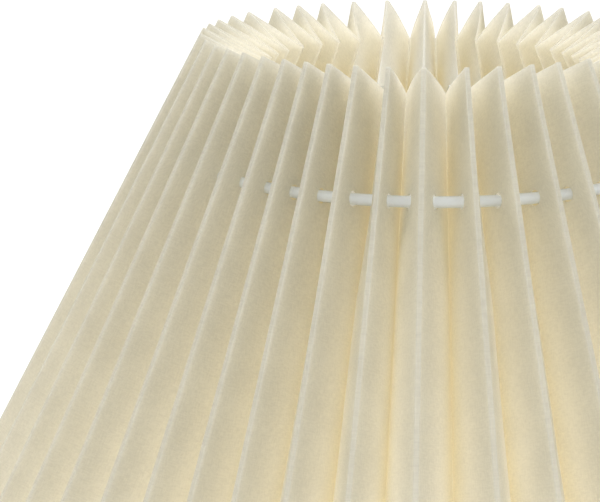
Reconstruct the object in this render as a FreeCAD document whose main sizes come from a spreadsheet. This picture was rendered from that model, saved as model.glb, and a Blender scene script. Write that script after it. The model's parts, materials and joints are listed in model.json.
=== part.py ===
import FreeCAD, Part

# Pleated paper table lamp. A turned foot and column carry a screw lampholder with its bulb. Four flat
# arms rise from the holder and cradle a wire ring, and the pleated paper shade is threaded on that ring.
# Millimetres. The origin is the centre of the face that the lamp rests on, +Z is up and -Y is the front.

import math
import operator
import os
import Sketcher

# Every driving size, in millimetres unless its note says otherwise.
SIZES = {
    # The pleated shade.
    "shade_top_diameter": (140, "across the ridge tips at the top"),
    "shade_bottom_diameter": (360, "across the ridge ends at the hem"),
    "shade_drop": (200, "height from ridge tip to ridge end"),
    "pleats": (44, "number of ridges round the shade, four times a whole number"),
    "pleat_width": (22.6, "width of the flat panel between two folds"),
    "fold_width": (1.6, "flat crown of each fold"),
    "paper_thickness": (0.5, "laminated paper"),
    "joint_rise": (2, "from an inner fold to where a strip's end dips under the other strip"),
    "joint_dip": (1, "width of that dip"),
    "joint_lap": (5, "glued overlap of the two strips"),
    "glue_gap": (0.05, "glue between them"),
    # The wire ring that is threaded through every panel, and the hoop inside the hem.
    "ring_drop": (34.5, "from the ridge tips down to the ring"),
    "ring_inset": (9.25, "from the ridge line in to the ring's centre line"),
    "ring_wire": (3.2, "wire diameter of the threaded ring"),
    "ring_hole": (4.4, "hole that the ring passes through"),
    "ferrule_length": (5.4, "sleeve that closes the ring's ends"),
    "ferrule_wall": (0.5, "wall of that sleeve"),
    "hoop_wire": (3, "wire diameter of the hem hoop"),
    "hoop_rise": (16, "from the ridge ends up to the hoop"),
    "seat_clearance": (0.3, "gap of a piece that rests loosely on its seat"),
    # The foot.
    "felt_diameter": (150, "felt under the foot"),
    "felt_thickness": (2, "felt under the foot"),
    "foot_diameter": (160, "turned foot"),
    "foot_height": (32, "turned foot, at the column's seat"),
    "foot_edge": (14, "upright part of the foot's side"),
    "foot_rounding": (3, "lower edge of the foot"),
    "foot_dome": (3, "rise of the foot's curved top above a straight slope"),
    "recess_diameter": (124, "hollow under the foot"),
    "recess_depth": (22, "hollow under the foot"),
    "ballast_thickness": (10, "iron plate in the hollow"),
    "ballast_clearance": (0.8, "between the plate and the hollow's side"),
    # The threaded tube that clamps foot, column and holder together.
    "tube_diameter": (10, "threaded tube"),
    "tube_bore": (7, "way for the wires through the tube"),
    "tube_clearance": (0.2, "between the tube and the holes it passes"),
    "tube_stub": (1.5, "tube below its nut"),
    "washer_diameter": (30, "washer under the ballast plate"),
    "washer_thickness": (2, "washer under the ballast plate"),
    "nut_across_flats": (14, "tube nut and lock nut"),
    "nut_thickness": (5, "tube nut"),
    "lock_nut_thickness": (4, "nut under the lampholder"),
    # The wire inlet in the back of the foot.
    "inlet_bore": (6.2, "hole through the inlet bush"),
    "bush_wall": (1.4, "wall of the inlet bush"),
    "bush_flange": (2.2, "how far the bush's flange stands out all round"),
    "bush_flange_thickness": (2, "flange of the inlet bush"),
    "bush_clearance": (0.1, "between the bush and its hole"),
    "inlet_height": (7, "centre of the inlet above the foot's underside"),
    # The turned column.
    "column_length": (228, "turned column"),
    "column_base_diameter": (62, "column where it stands on the foot"),
    "column_base_edge": (5, "upright edge at the column's base"),
    "column_flare": (44, "height of the flare above that edge"),
    "column_flare_bow": (8, "depth of the flare's hollow curve"),
    "column_waist_diameter": (27, "column above the flare"),
    "column_neck_diameter": (22, "column at its thinnest, under the head"),
    "column_head_diameter": (32, "column at its top"),
    "column_head": (18, "height of the head's curve"),
    "column_head_bow": (3, "depth of the head's hollow curve"),
    "column_head_edge": (6, "upright edge at the column's top"),
    "collar_diameter": (27, "metal collar on the column"),
    "collar_height": (8, "metal collar on the column"),
    "collar_rounding": (3, "upper edge of the collar"),
    # The lampholder.
    "holder_diameter": (39, "cap and skirt of the lampholder"),
    "holder_wall": (2, "wall of the cap and skirt"),
    "cap_height": (28, "lower half of the lampholder"),
    "cap_neck_diameter": (18, "cap where it stands on the lock nut"),
    "cap_boss_height": (10, "threaded boss inside the cap"),
    "cap_shoulder": (9, "height of the cap's curved shoulder"),
    "cap_shoulder_bow": (3.5, "bulge of that shoulder"),
    "skirt_height": (34, "upper half of the lampholder"),
    "skirt_mouth_diameter": (29, "mouth that the bulb screws into"),
    "insert_thickness": (10, "insulating disc that carries the contacts"),
    "insert_overlap": (2, "part of the disc that stands in the skirt"),
    "insert_clearance": (0.3, "between the disc and the holder's wall"),
    "contact_length": (14, "spring tongue under the bulb"),
    "contact_width": (6, "spring tongue under the bulb"),
    "contact_thickness": (0.6, "spring tongue under the bulb"),
    "sleeve_bore": (27, "threaded sleeve round the bulb's cap"),
    "sleeve_wall": (0.6, "threaded sleeve"),
    "sleeve_length": (26, "threaded sleeve"),
    "switch_height": (15, "push bar above the cap's foot"),
    "switch_bar": (4.6, "push bar"),
    "switch_hole": (5, "hole for the push bar in the cap"),
    "switch_travel": (3, "how far the bar is pushed through"),
    "switch_button": (8, "button at each end of the bar"),
    "switch_button_length": (5, "button at each end of the bar"),
    # The two nuts on the skirt and the carrier between them.
    "shade_nut_diameter": (46, "nuts that clamp the carrier"),
    "shade_nut_thickness": (6, "nuts that clamp the carrier"),
    "shade_nut_height": (10, "lower nut above the skirt's foot"),
    "shade_nut_rounding": (1.5, "rim of those nuts"),
    "shade_nut_clearance": (0.05, "between the nuts and the skirt"),
    "hub_clearance": (0.3, "between the carrier's hub and the skirt"),
    "hub_width": (10.2, "flat ring of the carrier"),
    "hub_thickness": (2, "flat ring of the carrier"),
    "arm_thickness": (1.8, "flat arms of the carrier"),
    "arm_depth": (7, "flat arms of the carrier"),
    "arm_reach": (44, "where an arm turns upward"),
    "arm_rise": (95.5, "from the hub's top to the ring's centre line"),
    "arm_bend": (9, "inner radius of the arm's bend"),
    "arm_lip": (1, "lip outside the ring's notch"),
    "arm_guard": (2.2, "width of the guard inside the notch"),
    "arm_guard_rise": (3, "guard above the ring's centre line"),
    # The bulb.
    "bulb_cap_diameter": (26.2, "screw cap of the bulb"),
    "bulb_cap_length": (25, "screw cap of the bulb"),
    "bulb_cap_wall": (0.5, "screw cap of the bulb"),
    "bulb_tip_diameter": (9, "contact at the bulb's end"),
    "bulb_tip_length": (1.4, "contact at the bulb's end"),
    "bulb_insulator_length": (3.2, "black glass between cap and tip"),
    "bulb_diameter": (60, "glass of the bulb"),
    "bulb_length": (106, "whole bulb from tip to crown"),
    "bulb_shoulder": (12, "from the widest height down to where the neck begins"),
    "bulb_neck_diameter": (25, "glass where it enters the cap"),
    "bulb_neck_bow": (2, "hollow of the glass between neck and shoulder"),
    "bulb_wall": (0.9, "glass of the bulb"),
    "bulb_overlap": (4, "glass inside the cap"),
    "stem_clearance": (0.1, "between the mount's flare and the neck's glass"),
    "stem_diameter": (5, "shank of the glass mount inside the bulb"),
    "stem_flare": (12, "height of the mount's flared foot"),
    "stem_flare_bow": (2, "hollow curve of that foot"),
    "stem_height": (36, "glass mount inside the bulb"),
    "filament_diameter": (1.8, "lit rods inside the bulb"),
    "filament_length": (30, "lit rods inside the bulb"),
    "filament_circle": (17, "circle that the rods stand on"),
    "filament_count": (4, "lit rods inside the bulb"),
    "filament_grip": (6, "from the rods' feet up to the stem's end"),
    "filament_wire": (0.8, "wires that hold the rods"),
}

ARM_NAMES = ("front", "right", "back", "left")
FULL_TURN = 360
QUARTER_TURN = FULL_TURN / 4
FLAT_SIDES = 6
HALVINGS = 40
NODE_FOLDER = "parts"

doc = FreeCAD.newDocument("PleatedLamp")
sheet = doc.addObject("Spreadsheet::Sheet", "Sizes")
for row, (alias, (number, note)) in enumerate(SIZES.items(), start=1):
    sheet.set(f"A{row}", alias)
    sheet.set(f"B{row}", str(number))
    sheet.set(f"C{row}", note)
    sheet.setAlias(f"B{row}", alias)
doc.recompute()


class Formula:
    """A size that keeps its number and its formula on the sheet together."""

    def __init__(self, text, value):
        self.text = text
        self.value = value

    def __add__(self, other):
        return combined(self, "+", other, operator.add)

    def __radd__(self, other):
        return combined(other, "+", self, operator.add)

    def __sub__(self, other):
        return combined(self, "-", other, operator.sub)

    def __rsub__(self, other):
        return combined(other, "-", self, operator.sub)

    def __mul__(self, other):
        return combined(self, "*", other, operator.mul)

    def __rmul__(self, other):
        return combined(other, "*", self, operator.mul)

    def __truediv__(self, other):
        return combined(self, "/", other, operator.truediv)

    def __neg__(self):
        return 0 - self

    def root(self):
        return Formula(f"sqrt({self.text})", math.sqrt(self.value))


def formula(item):
    """The item itself if it is a formula already, or else a plain number as one."""
    if isinstance(item, Formula):
        return item
    return Formula(repr(item), item)


def combined(first, sign, second, work):
    """One formula made of two, with the numbers worked out alongside."""
    first = formula(first)
    second = formula(second)
    return Formula(f"({first.text} {sign} {second.text})", work(first.value, second.value))


class Sheet:
    """The sheet's sizes by name."""

    def __getattr__(self, alias):
        return Formula(f"Sizes.{alias}", float(getattr(sheet, alias)))


size = Sheet()
nodes = []


def bind(item, bindings):
    """Ties properties of an object to formulas on the sheet."""
    for path, amount in bindings.items():
        item.setExpression(path, formula(amount).text)


def keep(item, label):
    """Names an object as one of the lamp's pieces."""
    item.Label = label
    nodes.append(item)
    return item


# Sketches and turned pieces.


def bow(start, end, rise):
    """Radius of the arc from one corner to the next that rises so far above its chord."""
    across = formula(end[0]) - start[0]
    upward = formula(end[1]) - start[1]
    chord_squared = across * across + upward * upward
    return (chord_squared / 4 + rise * rise) / (2 * formula(rise))


def arc_geometry(start, end, radius, to_left):
    """An arc between two corners, always anticlockwise, and whether it starts at the first of them."""
    chord = end - start
    height = math.sqrt(max(radius**2 - (chord.Length / 2) ** 2, 0))
    side = FreeCAD.Vector(-chord.y, chord.x, 0).normalize()
    centre = (start + end) / 2 + side * (height if to_left else -height)
    forward = to_left
    first, last = (start, end) if forward else (end, start)
    first_angle = math.atan2(first.y - centre.y, first.x - centre.x)
    last_angle = math.atan2(last.y - centre.y, last.x - centre.x)
    if last_angle <= first_angle:
        last_angle += 2 * math.pi
    circle = Part.Circle(centre, FreeCAD.Vector(0, 0, 1), radius)
    return Part.ArcOfCircle(circle, first_angle, last_angle), forward


def hold_corner(sketch, curve, point, across, upward):
    """Holds one corner of an outline at its place on the sheet."""
    for kind, amount, axis in (("DistanceX", across, -2), ("DistanceY", upward, -1)):
        amount = formula(amount)
        if amount.text == "0":
            sketch.addConstraint(Sketcher.Constraint("PointOnObject", curve, point, axis))
            continue
        limit = sketch.addConstraint(Sketcher.Constraint(kind, -1, 1, curve, point, amount.value))
        sketch.setExpression(f"Constraints[{limit}]", amount.text)


def outline_sketch(body, name, outline):
    """A closed outline on the body's upright plane, with every corner held by the sheet.

    Each entry is (across, upward). A third entry is the radius of an arc that ends at that corner, and
    a fourth says whether the arc's centre lies to the left on the way there.
    """
    plane = next(item for item in body.Origin.OriginFeatures if item.Role == "XZ_Plane")
    sketch = body.newObject("Sketcher::SketchObject", name)
    sketch.AttachmentSupport = (plane, [""])
    sketch.MapMode = "FlatFace"
    places = [FreeCAD.Vector(formula(c[0]).value, formula(c[1]).value, 0) for c in outline]
    ends = []
    for index, corner in enumerate(outline):
        start, end = places[index - 1], places[index]
        if len(corner) == 2:
            curve = sketch.addGeometry(Part.LineSegment(start, end), False)
            ends.append((curve, 1, 2))
            continue
        radius, to_left = corner[2:]
        arc, forward = arc_geometry(start, end, radius.value, to_left)
        curve = sketch.addGeometry(arc, False)
        ends.append((curve, 1, 2) if forward else (curve, 2, 1))
        limit = sketch.addConstraint(Sketcher.Constraint("Radius", curve, radius.value))
        sketch.setExpression(f"Constraints[{limit}]", radius.text)
    for index, corner in enumerate(outline):
        curve, _, last = ends[index]
        following, first, _ = ends[(index + 1) % len(ends)]
        sketch.addConstraint(Sketcher.Constraint("Coincident", curve, last, following, first))
        hold_corner(sketch, curve, last, corner[0], corner[1])
    return sketch


def turned(label, outline):
    """A piece turned on a lathe: its half outline, revolved about the upright axis."""
    body = doc.addObject("PartDesign::Body", label)
    sketch = outline_sketch(body, f"{label}_outline", outline)
    turn = body.newObject("PartDesign::Revolution", f"{label}_turn")
    turn.Profile = sketch
    turn.ReferenceAxis = (sketch, ["V_Axis"])
    turn.Angle = FULL_TURN
    return body


def ring_outline(inner, outer, low, high):
    """The half outline of a plain ring."""
    return [(inner, low), (outer, low), (outer, high), (inner, high)]


def cylinder(label, radius, height, base=(0, 0, 0)):
    """An upright cylinder whose sizes and place are held by the sheet."""
    rod = doc.addObject("Part::Cylinder", label)
    bind(rod, {"Radius": radius, "Height": height})
    for axis, amount in zip("xyz", base):
        bind(rod, {f"Placement.Base.{axis}": amount})
    return rod


def along_y(item):
    """Lays an upright piece down so that it points to the back."""
    item.Placement.Rotation = FreeCAD.Rotation(FreeCAD.Vector(1, 0, 0), -QUARTER_TURN)


def along_x(item):
    """Lays an upright piece down so that it points to the right."""
    item.Placement.Rotation = FreeCAD.Rotation(FreeCAD.Vector(0, 1, 0), QUARTER_TURN)


def cut(label, base, tool):
    """One piece with the shape of another cut away."""
    result = doc.addObject("Part::Cut", label)
    result.Base = base
    result.Tool = tool
    return result


def hexagon_nut(label, thickness, low):
    """A hexagon nut on the threaded tube."""
    blank = doc.addObject("Part::Prism", f"{label}_blank")
    blank.Polygon = FLAT_SIDES
    corner_radius = size.nut_across_flats / math.sqrt(3)
    bind(blank, {"Circumradius": corner_radius, "Height": thickness, "Placement.Base.z": low})
    bore = cylinder(f"{label}_bore", tube_hole, thickness, (0, 0, low))
    return keep(cut(label, blank, bore), label)


# Heights, from the table upward.

tube_radius = size.tube_diameter / 2
tube_hole = tube_radius + size.tube_clearance
foot_low = size.felt_thickness
recess_top = foot_low + size.recess_depth
foot_top = foot_low + size.foot_height
ballast_low = recess_top - size.ballast_thickness
washer_low = ballast_low - size.washer_thickness
tube_nut_low = washer_low - size.nut_thickness
tube_low = tube_nut_low - size.tube_stub
column_top = foot_top + size.column_length
collar_top = column_top + size.collar_height
cap_low = collar_top + size.lock_nut_thickness
cap_top = cap_low + size.cap_height
skirt_top = cap_top + size.skirt_height
tube_top = cap_low + size.cap_boss_height
insert_top = cap_top + size.insert_overlap
nut_low = cap_top + size.shade_nut_height
hub_low = nut_low + size.shade_nut_thickness
hub_top = hub_low + size.hub_thickness
ring_height = hub_top + size.arm_rise
tip_height = ring_height + size.ring_drop
bulb_low = insert_top + size.contact_thickness + size.seat_clearance

# Radii.

foot_radius = size.foot_diameter / 2
recess_radius = size.recess_diameter / 2
holder_radius = size.holder_diameter / 2
hub_bore = holder_radius + size.hub_clearance
shade_slope = (size.shade_bottom_diameter - size.shade_top_diameter) / (2 * size.shade_drop)
ring_radius = size.shade_top_diameter / 2 + shade_slope * size.ring_drop - size.ring_inset


# The stand.


def make_felt_pad():
    keep(cylinder("felt_pad", size.felt_diameter / 2, size.felt_thickness), "felt_pad")


def make_foot():
    """The turned foot: hollow below for the ballast, bored for the tube, and drilled at the back."""
    seat = size.column_base_diameter / 2
    round_start = (foot_radius - size.foot_rounding, foot_low)
    round_end = (foot_radius, foot_low + size.foot_rounding)
    edge_top = (foot_radius, foot_low + size.foot_edge)
    seat_edge = (seat, foot_top)
    outline = [
        (tube_hole, recess_top),
        (recess_radius, recess_top),
        (recess_radius, foot_low),
        round_start,
        (*round_end, size.foot_rounding, True),
        edge_top,
        (*seat_edge, bow(edge_top, seat_edge, size.foot_dome), True),
        (tube_hole, foot_top),
    ]
    blank = turned("foot_blank", outline)
    hole_length = foot_radius - recess_radius + 2 * size.bush_flange
    hole_start = recess_radius - size.bush_flange
    drill = cylinder("foot_drill", bush_radius, hole_length, (0, hole_start, inlet_height))
    along_y(drill)
    keep(cut("foot", blank, drill), "foot")


def make_cable_bush():
    """The flanged bush that lines the hole in the back of the foot."""
    body_radius = bush_radius - size.bush_clearance
    body_start = recess_radius
    body_length = foot_radius - recess_radius + size.bush_flange_thickness
    body = cylinder("bush_body", body_radius, body_length, (0, body_start, inlet_height))
    flange_radius = bush_radius + size.bush_flange
    flange = cylinder("bush_rim", flange_radius, size.bush_flange_thickness, (0, foot_radius, inlet_height))
    bore = cylinder("bush_bore", size.inlet_bore / 2, body_length, (0, body_start, inlet_height))
    for piece in (body, flange, bore):
        along_y(piece)
    whole = doc.addObject("Part::Fuse", "bush_blank")
    whole.Base = body
    whole.Tool = flange
    keep(cut("cable_bush", whole, bore), "cable_bush")


def make_ballast():
    """The iron plate in the foot's hollow, with its washer and nut on the tube."""
    plate_radius = recess_radius - size.ballast_clearance
    plate = turned("ballast_plate", ring_outline(tube_hole, plate_radius, ballast_low, recess_top))
    keep(plate, "ballast_plate")
    washer_radius = size.washer_diameter / 2
    washer = turned("tube_washer", ring_outline(tube_hole, washer_radius, washer_low, ballast_low))
    keep(washer, "tube_washer")
    hexagon_nut("tube_nut", size.nut_thickness, tube_nut_low)


def make_threaded_tube():
    bore = size.tube_bore / 2
    keep(turned("threaded_tube", ring_outline(bore, tube_radius, tube_low, tube_top)), "threaded_tube")


def make_column():
    """The turned column: a flared base, a slow taper and a small head."""
    base = size.column_base_diameter / 2
    waist = size.column_waist_diameter / 2
    neck = size.column_neck_diameter / 2
    head = size.column_head_diameter / 2
    flare_start = (base, foot_top + size.column_base_edge)
    flare_end = (waist, foot_top + size.column_base_edge + size.column_flare)
    head_start = (neck, column_top - size.column_head_edge - size.column_head)
    head_end = (head, column_top - size.column_head_edge)
    outline = [
        (tube_hole, foot_top),
        (base, foot_top),
        flare_start,
        (*flare_end, bow(flare_start, flare_end, size.column_flare_bow), False),
        head_start,
        (*head_end, bow(head_start, head_end, size.column_head_bow), False),
        (head, column_top),
        (tube_hole, column_top),
    ]
    keep(turned("column", outline), "column")


def make_collar():
    """The metal collar on the column and the nut that locks the lampholder."""
    radius = size.collar_diameter / 2
    outline = [
        (tube_hole, column_top),
        (radius, column_top),
        (radius, collar_top - size.collar_rounding),
        (radius - size.collar_rounding, collar_top, size.collar_rounding, True),
        (tube_hole, collar_top),
    ]
    keep(turned("neck_collar", outline), "neck_collar")
    hexagon_nut("lock_nut", size.lock_nut_thickness, collar_top)


# The lampholder.


def make_holder_cap():
    """The lower shell of the lampholder, with its threaded boss and the holes for the push bar."""
    inner = holder_radius - size.holder_wall
    neck = size.cap_neck_diameter / 2
    boss_top = cap_low + size.cap_boss_height
    shoulder_start = (neck, cap_low)
    shoulder_end = (holder_radius, cap_low + size.cap_shoulder)
    outline = [
        (tube_hole, cap_low),
        shoulder_start,
        (*shoulder_end, bow(shoulder_start, shoulder_end, size.cap_shoulder_bow), True),
        (holder_radius, cap_top),
        (inner, cap_top),
        (inner, boss_top),
        (tube_hole, boss_top),
    ]
    blank = turned("holder_cap_blank", outline)
    drill = cylinder(
        "switch_drill",
        size.switch_hole / 2,
        2 * size.holder_diameter,
        (-size.holder_diameter, 0, switch_height),
    )
    along_x(drill)
    keep(cut("holder_cap", blank, drill), "holder_cap")


def make_holder_skirt():
    """The upper shell of the lampholder: wide below for the insulating disc, narrow at its mouth."""
    mouth = size.skirt_mouth_diameter / 2
    outline = [
        (insert_radius + size.insert_clearance, cap_top),
        (holder_radius, cap_top),
        (holder_radius, skirt_top),
        (mouth, skirt_top),
        (mouth, insert_top),
        (insert_radius + size.insert_clearance, insert_top),
    ]
    keep(turned("holder_skirt", outline), "holder_skirt")


def make_holder_inside():
    """The insulating disc, the spring tongue on it and the threaded sleeve round the bulb's cap."""
    disc_low = insert_top - size.insert_thickness
    disc = cylinder("holder_insert", insert_radius, size.insert_thickness, (0, 0, disc_low))
    keep(disc, "holder_insert")
    tongue = doc.addObject("Part::Box", "centre_contact")
    bind(
        tongue,
        {
            "Length": size.contact_length,
            "Width": size.contact_width,
            "Height": size.contact_thickness,
            "Placement.Base.x": -size.contact_length / 2,
            "Placement.Base.y": -size.contact_width / 2,
            "Placement.Base.z": insert_top,
        },
    )
    keep(tongue, "centre_contact")
    bore = size.sleeve_bore / 2
    sleeve_top = insert_top + size.sleeve_length
    sleeve = turned("holder_sleeve", ring_outline(bore, bore + size.sleeve_wall, insert_top, sleeve_top))
    keep(sleeve, "holder_sleeve")


def make_switch_bar():
    """The bar that is pushed through the cap from either side, with a button on each end."""
    outside = holder_radius + size.seat_clearance
    half_bar = outside + size.switch_travel / 2
    start = size.switch_travel / 2 - half_bar
    bar = cylinder("switch_shaft", size.switch_bar / 2, 2 * half_bar, (start, 0, switch_height))
    left_start = start - size.switch_button_length
    button_radius = size.switch_button / 2
    right = cylinder(
        "switch_right",
        button_radius,
        size.switch_button_length,
        (start + 2 * half_bar, 0, switch_height),
    )
    left = cylinder(
        "switch_left",
        button_radius,
        size.switch_button_length,
        (left_start, 0, switch_height),
    )
    for piece in (bar, right, left):
        along_x(piece)
    whole = doc.addObject("Part::MultiFuse", "switch_bar")
    whole.Shapes = [bar, right, left]
    keep(whole, "switch_bar")


def make_shade_nut(label, low):
    """One of the two rings on the skirt that clamp the carrier."""
    bore = holder_radius + size.shade_nut_clearance
    radius = size.shade_nut_diameter / 2
    rounding = size.shade_nut_rounding
    high = low + size.shade_nut_thickness
    outline = [
        (bore, low),
        (radius - rounding, low),
        (radius, low + rounding, rounding, True),
        (radius, high - rounding),
        (radius - rounding, high, rounding, True),
        (bore, high),
    ]
    keep(turned(label, outline), label)


# The bulb.


def make_bulb_cap():
    """The bulb's screw cap, the black glass under it and the contact at its end."""
    cap_radius = size.bulb_cap_diameter / 2
    tip_radius = size.bulb_tip_diameter / 2
    tip_top = bulb_low + size.bulb_tip_length
    shell_low = tip_top + size.bulb_insulator_length
    shell_top = shell_low + size.bulb_cap_length
    keep(cylinder("bulb_tip", tip_radius, size.bulb_tip_length, (0, 0, bulb_low)), "bulb_tip")
    glass = [(0, tip_top), (tip_radius, tip_top), (cap_radius, shell_low), (0, shell_low)]
    keep(turned("bulb_insulator", glass), "bulb_insulator")
    inside = cap_radius - size.bulb_cap_wall
    shell = [
        (0, shell_low),
        (cap_radius, shell_low),
        (cap_radius, shell_top),
        (inside, shell_top),
        (inside, shell_low + size.bulb_cap_wall),
        (0, shell_low + size.bulb_cap_wall),
    ]
    keep(turned("bulb_cap", shell), "bulb_cap")
    return shell_top


def shoulder_corner(radius, crown):
    """Where the bulb's hollow neck sweep meets its sphere."""
    below = size.bulb_shoulder
    return (radius * radius - below * below).root(), crown - radius - below


def make_bulb_glass(cap_top_height):
    """The opal glass of the bulb, a thin shell."""
    crown = bulb_low + size.bulb_length
    low = cap_top_height - size.bulb_overlap
    radius = size.bulb_diameter / 2
    neck = size.bulb_neck_diameter / 2
    wall = size.bulb_wall
    sweep = cap_top_height + size.seat_clearance
    outside = (neck, sweep)
    inside = (neck - wall, sweep)
    shoulder = shoulder_corner(radius, crown)
    inner_shoulder = shoulder_corner(radius - wall, crown - wall)
    outline = [
        (neck, low),
        outside,
        (*shoulder, bow(outside, shoulder, size.bulb_neck_bow), False),
        (0, crown, radius, True),
        (0, crown - wall),
        (*inner_shoulder, radius - wall, False),
        (*inside, bow(inner_shoulder, inside, size.bulb_neck_bow), True),
        (neck - wall, low),
    ]
    keep(turned("bulb_glass", outline), "bulb_glass")


def make_bulb_inside(cap_top_height):
    """The glass mount in the bulb and the lit rods that stand round it on their wires."""
    stem_low = cap_top_height - size.bulb_overlap
    flare = size.bulb_neck_diameter / 2 - size.bulb_wall - size.stem_clearance
    shank = size.stem_diameter / 2
    flare_top = stem_low + size.stem_flare
    stem_top = stem_low + size.stem_height
    flare_start = (flare, stem_low)
    flare_end = (shank, flare_top)
    stem = [
        (0, stem_low),
        flare_start,
        (*flare_end, bow(flare_start, flare_end, size.stem_flare_bow), False),
        (shank, stem_top),
        (0, stem_top),
    ]
    keep(turned("bulb_stem", stem), "bulb_stem")
    count = round(size.filament_count.value)
    group = doc.addObject("Part::Compound", "bulb_filaments")
    group.Links = [make_filament(index, index * FULL_TURN / count, shank, stem_top) for index in range(count)]
    keep(group, "bulb_filaments")


def make_filament(index, turn, shank, stem_top):
    """One lit rod with the wire that holds its foot on the stem."""
    reach = size.filament_circle / 2
    low = stem_top - size.filament_grip
    wire_radius = size.filament_wire / 2
    rod = cylinder(f"filament_rod_{index}", size.filament_diameter / 2, size.filament_length, (reach, 0, low))
    wire = cylinder(f"filament_wire_{index}", wire_radius, reach - shank, (shank, 0, low + wire_radius))
    along_x(wire)
    whole = doc.addObject("Part::Fuse", f"filament_{index}")
    whole.Base = rod
    whole.Tool = wire
    whole.Placement.Rotation = FreeCAD.Rotation(FreeCAD.Vector(0, 0, 1), turn)
    return whole


# The carrier.


def make_carrier_hub():
    rim = hub_bore + size.hub_width
    keep(turned("carrier_hub", ring_outline(hub_bore, rim, hub_low, hub_top)), "carrier_hub")


def make_carrier_arm(label, turn):
    """A flat arm that stands on the hub, turns upward and ends in a notch for the ring."""
    notch = size.ring_wire / 2 + size.seat_clearance
    start = size.shade_nut_diameter / 2 + 2 * size.seat_clearance
    outer = ring_radius + notch + size.arm_lip
    inner = ring_radius - notch - size.arm_guard
    outer_low = ring_height - notch - size.arm_depth
    outline = [
        (start, hub_top),
        (size.arm_reach, hub_top),
        (outer, outer_low),
        (outer, ring_height),
        (ring_radius + notch, ring_height),
        (ring_radius, ring_height - notch, notch, False),
        (ring_radius - notch, ring_height, notch, False),
        (ring_radius - notch, ring_height + size.arm_guard_rise),
        (inner, ring_height + size.arm_guard_rise),
        (inner, outer_low),
        (size.arm_reach - size.arm_depth / 2, hub_top + size.arm_depth),
        (start, hub_top + size.arm_depth),
    ]
    body = doc.addObject("PartDesign::Body", label)
    sketch = outline_sketch(body, f"{label}_outline", outline)
    plate = body.newObject("PartDesign::Pad", f"{label}_plate")
    plate.Profile = sketch
    plate.Midplane = True
    bind(plate, {"Length": size.arm_thickness})
    doc.recompute()
    knees = [knee_edge(plate, outline[1]), knee_edge(plate, outline[-2])]
    rounding = body.newObject("PartDesign::Fillet", f"{label}_bend")
    rounding.Base = (plate, knees)
    bind(rounding, {"Radius": size.arm_bend})
    body.Placement.Rotation = FreeCAD.Rotation(FreeCAD.Vector(0, 0, 1), turn)
    keep(body, label)


def knee_edge(plate, corner):
    """The name of the plate's edge that runs through one corner of its outline."""
    across, upward = formula(corner[0]).value, formula(corner[1]).value
    here = FreeCAD.Vector(across, 0, upward)
    distances = [(edge.CenterOfMass - here).Length for edge in plate.Shape.Edges]
    return f"Edge{distances.index(min(distances)) + 1}"


# The shade.


def valley_corner(ridge_radius):
    """Radius of the inner folds at one end of the shade, and how far they lie below the ridge ends.

    The strip's edges are square to its folds, so the inner folds end lower than the ridges. A panel's
    width, its half pitch round the shade and the slope of the ridge fix where its inner fold lies.
    """
    half_pitch = math.pi / pleats
    lean = math.atan(shade_slope.value)
    along = math.cos(half_pitch) / math.cos(lean)
    reach = ridge_radius / math.cos(lean)
    square = along**2 + math.sin(half_pitch) ** 2
    spare = reach**2 - size.pleat_width.value**2
    radius = (reach * along - math.sqrt((reach * along) ** 2 - square * spare)) / square
    depth = (ridge_radius - radius * math.cos(half_pitch)) / math.cos(lean)
    return radius, depth * math.sin(lean)


def crown_corner(fold, side, edge, offset):
    """One side of a fold's crown at one edge of the strip, offset outward from the middle of the paper.

    Folds are counted from the front ridge, so the even ones are ridges. An edge is the ridges' radius
    and height there.
    """
    ridge_radius, ridge_height = edge
    valley_radius, valley_drop = valley_corner(ridge_radius)
    is_valley = fold % 2
    radius = (valley_radius if is_valley else ridge_radius) + offset
    height = ridge_height - (valley_drop if is_valley else 0)
    half_width = size.fold_width.value / 2 + (-offset if is_valley else offset)
    angle = fold * math.pi / pleats - math.pi / 2 + side * half_width / radius
    return FreeCAD.Vector(radius * math.cos(angle), radius * math.sin(angle), height)


def panel_point(fold, distance, edge, offset):
    """A point on the panel after a fold, so far across it."""
    near = crown_corner(fold, 1, edge, offset)
    far = crown_corner(fold + 1, -1, edge, offset)
    return near + (far - near) * (distance / size.pleat_width.value)


def strip_row(first_fold, edge, offset):
    """One edge of a strip, from its start on the panel after an inner fold to the end of its lap.

    Past its last inner fold the strip dips by its own thickness and ends under the other strip's start.
    """
    last_fold = first_fold + pleats
    dip = size.joint_rise.value
    joint = dip + size.joint_dip.value
    under = offset - size.paper_thickness.value - size.glue_gap.value
    row = [panel_point(first_fold, joint, edge, offset)]
    for fold in range(first_fold + 1, last_fold + 1):
        row += [crown_corner(fold, side, edge, offset) for side in (-1, 1)]
    row.append(panel_point(last_fold, dip, edge, offset))
    row.append(panel_point(last_fold, joint, edge, under))
    row.append(panel_point(last_fold, joint + size.joint_lap.value, edge, under))
    return row


def ruled(first, second):
    """The faces between two rows of corners."""
    faces = []
    for index in range(len(first) - 1):
        near = Part.makeLine(first[index], first[index + 1])
        far = Part.makeLine(second[index], second[index + 1])
        faces.append(Part.makeRuledSurface(near, far))
    return faces


def strip_wall(label, first_fold):
    """One pleated strip as a closed wall, still without its holes."""
    half_paper = size.paper_thickness.value / 2
    top, hem = shade_edges()
    top_outer = strip_row(first_fold, top, half_paper)
    top_inner = strip_row(first_fold, top, -half_paper)
    hem_outer = strip_row(first_fold, hem, half_paper)
    hem_inner = strip_row(first_fold, hem, -half_paper)
    faces = ruled(top_outer, hem_outer) + ruled(top_inner, hem_inner)
    faces += ruled(top_outer, top_inner) + ruled(hem_outer, hem_inner)
    for end in (0, -1):
        faces += ruled([top_outer[end], top_inner[end]], [hem_outer[end], hem_inner[end]])
    shell = Part.Shell(faces)
    shell.sewShape()
    wall = doc.addObject("Part::Feature", label)
    wall.Shape = Part.makeSolid(shell)
    return wall


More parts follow.
